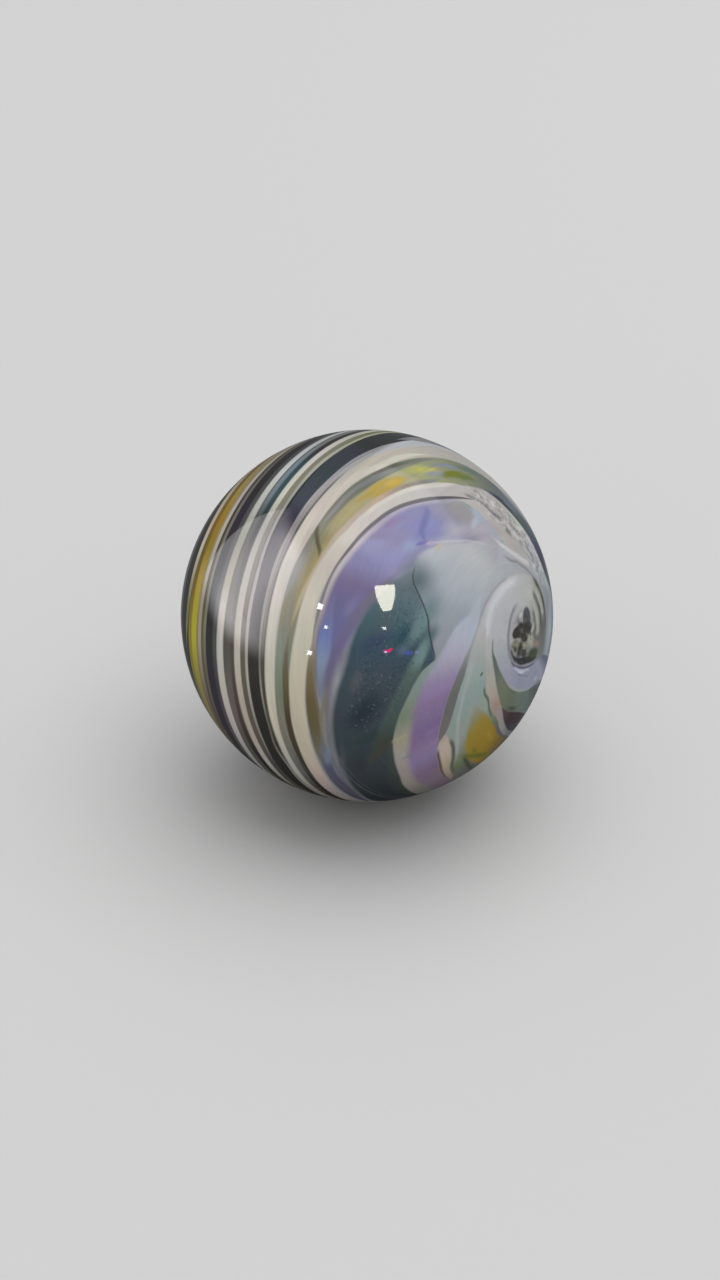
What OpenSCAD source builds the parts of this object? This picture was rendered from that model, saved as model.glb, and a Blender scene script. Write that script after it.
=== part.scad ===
// Hand-made glass marble: a solid ball of dark glass with light and coloured
// rods wound round it as stripes, which are drawn up into a vortex at one pole.
// Latitudes and longitudes are counted about the pole that the stripes circle.
// Longitude falls as an arm winds inwards, so -200 lies one turn on from 160.

/* [Ball] */
// Diameter of the finished ball
marble_d = 35; // [16:1:60]

/* [Pattern] */
// Height of the pole above level, in degrees
pole_rise = 10.2; // [0:0.1:90]
// Turn of the pattern about its pole, in degrees
pattern_turn = -122.4; // [-180:0.1:180]
// Latitude where the round stripes end and the vortex begins, in degrees
vortex_lat = 15; // [14:0.1:16]
// Distance of the eye from the pole, in degrees
eye_offset = 4; // [0:0.5:6]
// Longitude of the eye, in degrees
eye_lon = -105; // [-180:1:180]
// Half-width of the dark eye, in degrees
eye_half_width = 8.5; // [5:0.5:11]
// Width of the pale ring round the eye, in degrees
ring_width = 4; // [2:0.5:6]

/* [Hidden] */

$fn = 40;
r = marble_d / 2;
// Radius of the tools that cut the ball, well outside it
reach = 2 * r;
ring_half_width = eye_half_width + ring_width;
// Fields of colour run this far under their neighbours, so that the glass is one solid
lap = 0.03;
lap_angle = asin(lap / r);
// Longest straight piece in an arm's edge, in degrees of longitude
stride = 10;

black = [0.06, 0.07, 0.08];
smoke = [0.22, 0.23, 0.25];
teal_dark = [0.13, 0.20, 0.22];
teal = [0.32, 0.46, 0.48];
mint = [0.55, 0.68, 0.62];
white = [0.86, 0.86, 0.84];
ivory = [0.87, 0.84, 0.76];
cream = [0.76, 0.68, 0.58];
pale_grey = [0.70, 0.72, 0.75];
ring_grey = [0.62, 0.63, 0.72];
lavender = [0.50, 0.49, 0.72];
blue = [0.36, 0.50, 0.76];
purple = [0.52, 0.40, 0.60];
maroon = [0.22, 0.13, 0.16];
yellow = [0.66, 0.60, 0.16];
amber = [0.74, 0.58, 0.16];
brown = [0.42, 0.33, 0.18];
olive = [0.42, 0.46, 0.30];

// Round stripes, from the far pole up: latitude where each one ends, and its colour
stripes = [
    [-74, black], [-68, ivory], [-60, teal_dark], [-56, white], [-48, smoke], [-43, pale_grey],
    [-34, black], [-30.5, ivory], [-23, yellow], [-20, cream], [-17, olive], [-11, black],
    [-7.5, white], [-3.5, teal], [0, ivory], [1, black], [2.4, cream], [7.5, black], [13.2, ivory],
    [vortex_lat, olive]
];

// Arms of the vortex, the first one lowest. Each row gives a longitude and the latitudes of both edges.
// An edge below the last stripe is cut off there, so that the arm peels away from it.
arms = [
    [smoke, [[-90, 10, 15.5], [-120, 10, 25], [-150, 22, 35], [-180, 30, 41], [-220, 40, 45]]],
    [ivory, [[0, 10, 15.5], [-40, 10, 17.5], [-60, 10, 20], [-80, 10, 25], [-100, 21, 34], [-130, 31, 43],
        [-160, 39, 49], [-200, 46, 49]]],
    [olive, [[60, 10, 15.5], [20, 10, 18], [-20, 10, 23], [-60, 20, 32], [-80, 25, 36], [-95, 33, 43],
        [-110, 41, 47], [-130, 46, 48]]],
    [blue, [[-92, 44, 45], [-110, 49, 53], [-130, 50, 57], [-150, 52, 58], [-170, 54, 57]]],
    [yellow, [[0, 17, 18], [-20, 18.5, 21.5], [-50, 23, 27], [-65, 26, 29.5], [-85, 32, 34]]],
    [ivory, [[130, 10, 15.5], [90, 10, 16.5], [60, 10, 19], [30, 17.5, 22], [0, 20, 25], [-30, 25, 30],
        [-60, 32, 39], [-80, 38, 50], [-100, 48, 60], [-130, 57, 66], [-180, 62, 73], [-210, 68, 78],
        [-240, 76, 82]]],
    [brown, [[70, 18.5, 19], [50, 20, 24], [30, 21.5, 26], [15, 23.5, 25]]],
    [blue, [[95, 16.5, 17.5], [60, 20, 24], [40, 24.5, 27], [10, 26, 29], [0, 27.5, 28]]],
    [lavender, [[25, 29, 29.5], [0, 27, 34.5], [-20, 28.5, 43], [-40, 33, 50], [-55, 38, 50],
        [-68, 43.5, 47]]],
    [teal_dark, [[170, 15.5, 18], [130, 16, 24], [90, 18, 33], [60, 25, 42], [40, 28, 48], [20, 30, 57],
        [0, 35, 58], [-12, 41, 53], [-24, 46.5, 48]]],
    [pale_grey, [[15, 60.5, 73], [0, 59, 75], [-12, 54, 76], [-25, 49, 77], [-45, 50, 77], [-65, 47, 77],
        [-80, 51, 77], [-100, 60, 75], [-125, 66, 73], [-150, 70, 72]]],
    [mint, [[128, 58, 59], [110, 63, 67], [90, 66, 74], [60, 68, 78], [30, 70.5, 78], [0, 74, 74.5]]],
    [purple, [[140, 24, 27], [110, 31, 40], [90, 35, 46], [70, 42, 55], [50, 49, 61.5], [30, 57, 67],
        [10, 61, 70.5], [-10, 66, 71.5], [-25, 69, 70]]],
    [cream, [[115, 37, 38.5], [90, 47.5, 50.5], [75, 53, 56.5], [62, 57, 58]]],
    [pale_grey, [[150, 31, 33], [120, 40, 44], [100, 48, 53], [80, 55.5, 61], [60, 60, 66], [40, 65.5, 69],
        [25, 69, 70]]],
    [amber, [[150, 40, 43], [125, 45, 54], [110, 51, 62], [90, 58, 66.5], [70, 65, 68], [62, 67, 67.5]]],
    [maroon, [[165, 48, 50], [140, 52, 60], [120, 63, 68.5], [105, 71, 72]]],
    [olive, [[170, 52, 55], [140, 61, 68], [120, 68, 77], [90, 76, 80.5], [60, 80, 81.5], [30, 80.5, 81]]]
];

// Point on a curve through four even knots, between the middle two
function eased(a, b, c, d, t) =
    0.5 * (2 * b + (c - a) * t + (2 * a - 5 * b + 4 * c - d) * t * t + (3 * b - a - 3 * c + d) * t * t * t);
function knot(rows, i) = rows[max(0, min(len(rows) - 1, i))];
function smooth_rows(rows) = concat(
    [for (i = [0 : len(rows) - 2])
        let (pieces = ceil((rows[i][0] - rows[i + 1][0]) / stride))
            for (k = [0 : pieces - 1])
                eased(knot(rows, i - 1), rows[i], rows[i + 1], knot(rows, i + 2), k / pieces)],
    [rows[len(rows) - 1]]);
// Seen along the pole, a point of the ball's surface lies this far out
function seen_from_pole(lon, lat) = r * cos(lat) * [cos(lon), sin(lon)];

// Rows of an arm whose sides and ends are drawn in by an angle
function drawn_in(rows, by) = [for (i = [0 : len(rows) - 1])
    let (side = min(by, (rows[i][2] - rows[i][1]) / 3), end = i == 0 ? -by : i == len(rows) - 1 ? by : 0)
    [rows[i][0] + end, rows[i][1] + side, rows[i][2] - side]];

// Outline of one arm, seen along the pole
module arm_outline(rows, inset = 0) {
    edge = drawn_in(smooth_rows(rows), inset);
    last = len(edge) - 1;
    polygon(concat(
        [for (i = [0 : last]) seen_from_pole(edge[i][0], edge[i][1])],
        [for (i = [last : -1 : 0]) seen_from_pole(edge[i][0], edge[i][2])]));
}

// A ring of the eye, seen along the pole
module eye_outline(half_width) {
    translate(seen_from_pole(eye_lon, 90 - eye_offset)) circle(r = r * sin(half_width));
}

// Slice of the ball between two latitudes
module slice(low, high) {
    intersection() {
        sphere(r = r);
        translate([0, 0, r * sin(low) - lap]) cylinder(r = reach, h = r * (sin(high) - sin(low)) + lap);
    }
}

// The vortex side of the ball, under an outline seen along the pole
module vortex_field() {
    intersection() {
        sphere(r = r);
        translate([0, 0, r * sin(vortex_lat) - lap]) linear_extrude(height = reach) children();
    }
}

module round_stripes() {
    for (i = [0 : len(stripes) - 1])
        color(stripes[i][1]) slice(i == 0 ? -90 : stripes[i - 1][0], stripes[i][0]);
}

module eye() {
    color(ring_grey) vortex_field() difference() {
        eye_outline(ring_half_width);
        eye_outline(eye_half_width - lap_angle);
    }
    color(black) vortex_field() eye_outline(eye_half_width);
}

// What the eye and the arms from a number on cover, drawn in by the lap
module covered(first) {
    eye_outline(ring_half_width - lap_angle);
    for (k = [first : 1 : len(arms) - 1]) arm_outline(arms[k][1], lap_angle);
}

// Each arm lies on the ones before it and under the ones after it
module vortex() {
    color(black) vortex_field() difference() {
        circle(r = reach);
        covered(0);
    }
    for (i = [0 : len(arms) - 1])
        color(arms[i][0]) vortex_field() difference() {
            arm_outline(arms[i][1]);
            covered(i + 1);
        }
    eye();
}

module marble() {
    rotate([0, 90 - pole_rise, 0]) rotate([0, 0, pattern_turn]) {
        round_stripes();
        vortex();
    }
}

marble();
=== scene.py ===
"""Hand-made swirl marble: one ball of dark glass, wound with light and coloured rods that are drawn up
into a vortex at one pole. The ball carries its whole pattern as a procedural material."""

import math

import bmesh
import bpy
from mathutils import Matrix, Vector


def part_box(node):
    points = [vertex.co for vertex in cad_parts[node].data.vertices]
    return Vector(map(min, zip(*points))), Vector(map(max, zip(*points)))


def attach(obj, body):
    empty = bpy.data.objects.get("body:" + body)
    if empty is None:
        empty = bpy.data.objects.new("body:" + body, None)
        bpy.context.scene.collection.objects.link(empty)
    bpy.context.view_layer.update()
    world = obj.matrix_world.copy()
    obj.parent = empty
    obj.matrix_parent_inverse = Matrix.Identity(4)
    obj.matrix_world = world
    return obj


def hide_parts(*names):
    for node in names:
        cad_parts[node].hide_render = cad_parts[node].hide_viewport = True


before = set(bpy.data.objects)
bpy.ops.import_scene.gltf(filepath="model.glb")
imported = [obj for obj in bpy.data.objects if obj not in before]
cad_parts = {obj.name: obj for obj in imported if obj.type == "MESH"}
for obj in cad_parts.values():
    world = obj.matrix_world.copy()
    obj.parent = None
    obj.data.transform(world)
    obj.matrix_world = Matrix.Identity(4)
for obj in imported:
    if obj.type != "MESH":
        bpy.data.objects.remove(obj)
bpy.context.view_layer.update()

# The ball, in metres, and how its pattern lies, in degrees: azimuth, rise and turn of the pole that the
# stripes circle, and of the eye of the vortex near it
low_corner, high_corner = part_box("marble")
RADIUS = min(high_corner)
ROUNDNESS = 7
STRIPE_POLE = (0.0, 10.2, 147.56)
VORTEX_EYE = (3.76, 11.78, 149.33)

# The charts that the pattern is drawn on, in degrees: where each starts and how far it goes
STRIPE_START, ARM_START = 180, 180.6
SOUTH, STRIPE_SPAN, VORTEX_SPAN = -90, 180, 120

# The stripes close up a little below this latitude, more on one side, and waver in height and round the ball
SQUEEZE_UNDER, SQUEEZE, SQUEEZE_LEAN = 16, 0.033, 0.018
WAVER_HEIGHT, WAVER_ROUND = 0.3, 2.0

# The glass: its ground colour, roughness and clear coat, which thins from its face to its edge
GROUND = (30, 32, 34)
GLASS_ROUGHNESS = 0.5
COAT_FACE, COAT_LOSS, LOSS_FROM, LOSS_TO = 0.55, 0.38, 0.3, 0.85
COAT = {"Specular IOR Level": 0.0, "Coat Roughness": 0.03, "Coat IOR": 1.5}

# The studio: floor and air, and where the side softbox and the small lamps stand, in metres and degrees
FLOOR_REACH, FLOOR_SHADE, FLOOR_ROUGHNESS, AIR = 3.0, (198, 198, 198), 0.9, 0.66
SIDE_AZIMUTH, SIDE_DISTANCE, SIDE_HEIGHT = -44.5, 0.1, 0.067
SMALL_LAMP_DISTANCE, SHIELD_TURN = 0.35, -4

# The camera: lens and sensor in mm, the lens in pixels of a frame 1280 high, azimuth and rise, distance, and
# how many pixels the ball lies right of and over the middle of the frame
LENS, SENSOR, LENS_PIXELS = 67.5, 36.0, 2400
CAMERA_HEADING, CAMERA_DISTANCE = (38.96, 31.6), 0.2262
BALL_RIGHT, BALL_UP = 6.9, 24.2


# ---------------------------------------------------------------- glass recipes (shader nodes)
class Wire:
    """A node's socket to reckon with: arithmetic on it adds Math or Vector Math nodes."""

    def __init__(self, recipe, socket):
        self.recipe = recipe
        self.socket = socket

    def reckon(self, operation, first, second):
        vector = any(isinstance(s, Wire) and s.socket.type in {"VECTOR", "RGBA"} for s in (first, second))
        kind = "ShaderNodeVectorMath" if vector else "ShaderNodeMath"
        return self.recipe.node(kind, {"operation": operation}, {0: first, 1: second})

    def also(self, output):
        """Another output of the same node."""
        return Wire(self.recipe, self.socket.node.outputs[output])

    def __add__(self, other):
        return self.reckon("ADD", self, other)

    def __radd__(self, other):
        return self.reckon("ADD", other, self)

    def __sub__(self, other):
        return self.reckon("SUBTRACT", self, other)

    def __rsub__(self, other):
        return self.reckon("SUBTRACT", other, self)

    def __mul__(self, other):
        return self.reckon("MULTIPLY", self, other)

    def __rmul__(self, other):
        return self.reckon("MULTIPLY", other, self)


class Recipe:
    """The node tree of one material, lamp or layer."""

    def __init__(self, owner, tree=None):
        self.owner = owner
        if tree is None:
            owner.use_nodes = True
        self.tree = tree or owner.node_tree
        self.tree.nodes.clear()

    def node(self, kind, settings, inputs, out=0):
        made = self.tree.nodes.new(kind)
        for name, value in settings.items():
            if name == "stops":
                self.set_stops(made.color_ramp, value)
            elif name == "points":
                self.set_points(made.mapping, value)
            else:
                setattr(made, name, value)
        for name, value in inputs.items():
            socket = made.inputs[name]
            if isinstance(value, Wire):
                self.tree.links.new(value.socket, socket)
            elif socket.type == "VECTOR" and isinstance(value, (int, float)):
                socket.default_value = (value,) * 3
            elif socket.type == "RGBA" and len(value) == 3:
                socket.default_value = (*value, 1.0)
            else:
                socket.default_value = value
        return Wire(self, made.outputs[out]) if made.outputs else made

    def set_stops(self, ramp, stops):
        while len(ramp.elements) < len(stops):
            ramp.elements.new(1.0)
        for element, (place, shade) in zip(ramp.elements, stops):
            element.position = place
            element.color = (*shade, 1.0)

    def set_points(self, mapping, points):
        mapping.extend = "HORIZONTAL"
        curve = mapping.curves[0]
        while len(curve.points) < len(points):
            curve.points.new(0.5, 0.5)
        for point, place in zip(curve.points, points):
            point.location = place
            point.handle_type = "AUTO_CLAMPED"
        mapping.update()

    # ------------------------------------------------------------ small tools
    def math(self, operation, first, second=0.0):
        return self.node("ShaderNodeMath", {"operation": operation}, {0: first, 1: second})

    def vector(self, operation, first, second=(0, 0, 0), out=0):
        return self.node("ShaderNodeVectorMath", {"operation": operation}, {0: first, 1: second}, out)

    def ramp(self, value, start, end, top=1.0):
        """0 at start, rising smoothly to top at end."""
        sockets = {"Value": value, "From Min": start, "From Max": end, "To Max": top}
        settings = {"interpolation_type": "SMOOTHSTEP", "clamp": False}
        return self.node("ShaderNodeMapRange", settings, sockets)

    def mix(self, under, over, cover):
        return self.node("ShaderNodeMix", {"data_type": "RGBA"}, {0: cover, 6: under, 7: over}, 2)

    def noise(self, vector, scale, detail=2.0, rough=0.5):
        sockets = {"Vector": vector, "Scale": scale, "Detail": detail, "Roughness": rough}
        return self.node("ShaderNodeTexNoise", {}, sockets)

    def curve(self, value, points):
        return self.node("ShaderNodeFloatCurve", {"points": points}, {"Value": value})

    def flat_place(self, across, along, height=0.0):
        return self.node("ShaderNodeCombineXYZ", {}, {0: across, 1: along, 2: height})

    def finish(self, colour, roughness, **fixed):
        sockets = {"Base Color": colour, "Roughness": roughness, **fixed}
        shader = self.node("ShaderNodeBsdfPrincipled", {}, sockets)
        self.node("ShaderNodeOutputMaterial", {}, {"Surface": shader})
        return self.owner


def tint(red, green, blue):
    """A colour from its display values, 0 to 255."""
    parts = (red / 255, green / 255, blue / 255)
    return tuple(p / 12.92 if p <= 0.04045 else ((p + 0.055) / 1.055) ** 2.4 for p in parts)


def axes(azimuth, rise, turn):
    """A pole of the ball and the two directions square to it, from which angles round it are counted."""
    a, e, t = (math.radians(d) for d in (azimuth, rise, turn))
    pole = Vector((math.cos(a) * math.cos(e), math.sin(a) * math.cos(e), math.sin(e)))
    east = Vector((-math.sin(a), math.cos(a), 0.0))
    up = pole.cross(east)
    return pole, east * math.cos(t) + up * math.sin(t), up * math.cos(t) - east * math.sin(t)


# ---------------------------------------------------------------- layers, each a group of nodes used often
def start_layer(name, numbers, vectors=()):
    """A group that lays a shade over a colour, and its inputs as wires."""
    tree = bpy.data.node_groups.new(name, "ShaderNodeTree")
    labels = [("Colour", "Color"), ("Shade", "Color")]
    labels += [(label, "Vector") for label in vectors] + [(label, "Float") for label in numbers]
    for label, kind in labels:
        tree.interface.new_socket(name=label, in_out="INPUT", socket_type="NodeSocket" + kind)
    tree.interface.new_socket(name="Colour", in_out="OUTPUT", socket_type="NodeSocketColor")
    layer = Recipe(None, tree)
    first = layer.node("NodeGroupInput", {}, {})
    return layer, {label: first.also(label) for label, kind in labels}


def end_layer(layer, wires, cover):
    layer.node("NodeGroupOutput", {}, {"Colour": layer.mix(wires["Colour"], wires["Shade"], cover)})
    return layer.tree


def field_layer():
    """Shade between two edges over the level, each with its own softness."""
    g, w = start_layer("field layer", ("Level", "Low", "High", "Soft Low", "Soft High", "Strength"))
    inner = g.ramp(w["Level"] - w["Low"], w["Soft Low"] * -0.5, w["Soft Low"] * 0.5)
    outer = g.ramp(w["High"] - w["Level"], w["Soft High"] * -0.5, w["Soft High"] * 0.5, w["Strength"])
    return end_layer(g, w, inner * outer)


def thread_layer():
    """A thin line of shade along a path, fading at both ends of its share of the winding."""
    g, w = start_layer("thread layer", ("Level", "Path", "Share", "Begin", "End", "Rim", "Core", "Strength"))
    off = g.math("ABSOLUTE", w["Level"] - w["Path"])
    fade = (w["End"] - w["Begin"]) * 0.15
    ends = g.ramp(w["Share"], w["Begin"], w["Begin"] + fade) * g.ramp(w["Share"], w["End"], w["End"] - fade)
    return end_layer(g, w, g.ramp(off, w["Rim"], w["Core"], w["Strength"]) * ends)


def cloud_layer():
    """A soft oval of shade on a flat field, with its two axes given over their lengths."""
    g, w = start_layer("cloud layer", ("Core", "Strength"), ("Flat", "Centre", "Long", "Wide"))
    spot = w["Flat"] - w["Centre"]
    along, over = (g.vector("DOT_PRODUCT", spot, w[axis], 1) for axis in ("Long", "Wide"))
    reach = g.math("SQRT", along * along + over * over)
    return end_layer(g, w, g.ramp(reach, 1.0, w["Core"], w["Strength"]))


# ---------------------------------------------------------------- the pattern in the glass
class SwirlGlass(Recipe):
    """The glass of the ball: colours laid over each other, in the order in which they are called."""

    def __init__(self, name):
        super().__init__(bpy.data.materials.new(name))
        self.layers = {"field": field_layer(), "thread": thread_layer(), "cloud": cloud_layer()}
        self.place = self.node("ShaderNodeTexCoord", {}, {}, "Object")
        self.point = self.vector("NORMALIZE", self.place)
        self.colour = tint(*GROUND)

    def lay(self, kind, shade, **sockets):
        shade = shade if isinstance(shade, Wire) else tint(*shade)
        inputs = {"Colour": self.colour, "Shade": shade, **sockets}
        self.colour = self.node("ShaderNodeGroup", {"node_tree": self.layers[kind]}, inputs)

    def stir(self, scale):
        """Noise round zero, with scale features over the ball's radius."""
        return self.noise(self.place, scale / RADIUS) - 0.5

    def along(self, direction):
        return self.vector("DOT_PRODUCT", self.point, tuple(direction), 1)

    def degrees(self, operation, first, second=0.0):
        return self.math(operation, first, second) * (180 / math.pi)


class Chart:
    """Degrees about one pole of the ball: the angle round it, which falls as an arm winds inwards, and the
    height over its equator or the reach from it. The flat field is the same as a plane, for clouds."""

    def __init__(self, glass, base, span):
        self.glass = glass
        self.base = base
        self.span = span
        self.level = (self.height - base) * (1 / span)
        self.windings = {}

    def share(self, height):
        return (height - self.base) / self.span

    def winding(self, start):
        """How far round from angle start, inwards, as a share of one turn."""
        if start not in self.windings:
            self.windings[start] = self.glass.math("FRACT", (start - self.angle) * (1 / 360))
        return self.windings[start]

    def edge(self, start, points):
        """A height that changes round the pole, from given points (angle, height), or one height."""
        if not isinstance(points, list):
            return self.share(points)
        steps = [((start - angle) / 360, self.share(height)) for angle, height in points]
        return self.glass.curve(self.winding(start), steps)

    def shades(self, start, stops):
        """One tint, or a list of stops (angle, red, green, blue) along the winding."""
        if not isinstance(stops, list):
            return stops
        if stops[0][0] == start:
            stops = [*stops, (start - 360, *stops[0][1:])]
        steps = [((start - angle) / 360, tint(*shade)) for angle, *shade in stops]
        return self.glass.node("ShaderNodeValToRGB", {"stops": steps}, {"Fac": self.winding(start)})

    def field(self, start, low, high, stops, soft=(0.8, 0.8), strength=1.0):
        """Colour between two edges, each a height or points. It closes where high falls under low."""
        sockets = {"Low": self.edge(start, low), "High": self.edge(start, high), "Level": self.level}
        sockets.update({"Soft Low": soft[0] / self.span, "Soft High": soft[1] / self.span})
        self.glass.lay("field", self.shades(start, stops), Strength=strength, **sockets)

    def cloud(self, across, along, long, wide, shade, turn=0, soft=1, strength=1.0):
        """A soft oval cloud of colour on the flat field, long by wide half-lengths, turned by degrees."""
        c, s = math.cos(math.radians(turn)), math.sin(math.radians(turn))
        sockets = {"Flat": self.flat, "Centre": (across, along, 0), "Long": (c / long, s / long, 0)}
        sockets.update({"Wide": (-s / wide, c / wide, 0), "Core": 1 - soft, "Strength": strength})
        self.glass.lay("cloud", shade, **sockets)


class Stripes(Chart):
    """Longitude and latitude about the pole that the stripes circle."""

    def __init__(self, glass):
        pole, first, second = axes(*STRIPE_POLE)
        waver = [glass.stir(scale) for scale in (2.3, 2.6)]
        latitude = glass.degrees("ARCSINE", glass.along(pole))
        under = glass.math("MAXIMUM", SQUEEZE_UNDER - latitude, 0)
        squeeze = under * (SQUEEZE - glass.along(second) * SQUEEZE_LEAN)
        self.height = latitude - squeeze + waver[0] * WAVER_HEIGHT
        turned = glass.degrees("ARCTAN2", glass.along(second), glass.along(first))
        self.angle = turned + waver[1] * WAVER_ROUND
        super().__init__(glass, SOUTH, STRIPE_SPAN)

    def unroll(self):
        """Lay longitude and latitude out flat, stirred a little."""
        across, along = self.angle + self.glass.stir(7.0) * 8.0, self.height + self.glass.stir(8.0) * 2.4
        self.flat = self.glass.flat_place(across, along)

    def band(self, low, high, stops, soft=0.6, strength=1.0):
        """A stripe right round the ball. An edge given as points ends at the height that it starts from.
        Soft is for both edges, or for the lower and the upper."""
        edges = [[*e, (STRIPE_START - 360, e[0][1])] if isinstance(e, list) else e for e in (low, high)]
        soft = soft if isinstance(soft, tuple) else (soft, soft)
        self.field(STRIPE_START, *edges, stops, soft, strength)

    def rod(self, points, stops, soft=(0.8, 0.8), strength=1.0):
        """A rod of glass wound inwards, from given points (longitude, lower and upper latitude)."""
        low = [(longitude, below) for longitude, below, above in points]
        high = [(longitude, above) for longitude, below, above in points]
        self.field(STRIPE_START, low, high, stops, soft, strength)


class Vortex(Chart):
    """The flat field round the eye: degrees right and up from it, with angle 0 at its left and 90 below."""

    def __init__(self, glass):
        pole, first, second = axes(*VORTEX_EYE)
        left, below = glass.along(first), glass.along(second)
        spread = glass.math("SQRT", left * left + below * below)
        reach = glass.math("DIVIDE", glass.degrees("ARCCOSINE", glass.along(pole)), spread)
        left = left * reach + glass.stir(9.0) * 0.5
        below = below * reach + glass.stir(10.0) * 0.5
        self.flat = glass.flat_place(left * -1.0, below * -1.0)
        self.height = glass.math("SQRT", left * left + below * below)
        self.angle = glass.degrees("ARCTAN2", below, left)
        super().__init__(glass, 0, VORTEX_SPAN)

    def trace(self, points):
        """Angles and reaches of points on the flat field, each angle in the half turn on either side of the
        one before it, so that a line may wind past the start."""
        line = []
        near = -1.0
        for x, y in points:
            angle = math.degrees(math.atan2(-y, -x))
            while angle > near + 180:
                angle -= 360
            while angle <= near - 180:
                angle += 360
            line.append((angle, math.hypot(x, y)))
            near = angle
        return line

    def curl(self, outer, inner, stops, soft=(0.8, 0.8), strength=1.0):
        """An arm drawn towards the eye, from its outer end inwards, between two lines of points
        (right, up). The inner one starts and ends where the outer one does. Stops (right, up, red, green,
        blue) give its tint at points along it. Soft is for the inner and the outer line."""
        lines = []
        for points, side in (([outer[0], *inner, outer[-1]], 1), (outer, -1)):
            line = self.trace(points)
            (first, out), (last, near) = line[0], line[-1]
            closed = side * 0.5 * max(soft)
            lines.append([(first + 1.5, out + closed), *line, (last - 1.5, near + closed)])
        if isinstance(stops, list):
            angles = [angle for angle, reach in self.trace([stop[:2] for stop in stops])]
            stops = [(angle, *stop[2:]) for angle, stop in zip(angles, stops)]
        self.field(ARM_START, lines[0], lines[1], stops, soft, strength)

    def thread(self, points, width, shade, soft=0.6, strength=1.0):
        """A thin line of colour through points, from its outer end inwards."""
        line = self.trace(points)
        rim, core = (width + soft) / 2, max(width - soft, 0) / 2
        sockets = {"Level": self.level, "Path": self.edge(ARM_START, line), "Share": self.winding(ARM_START)}
        sockets.update({"Begin": (ARM_START - line[0][0]) / 360, "End": (ARM_START - line[-1][0]) / 360})
        sockets.update({"Rim": rim / self.span, "Core": core / self.span, "Strength": strength})
        self.glass.lay("thread", shade, **sockets)


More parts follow.
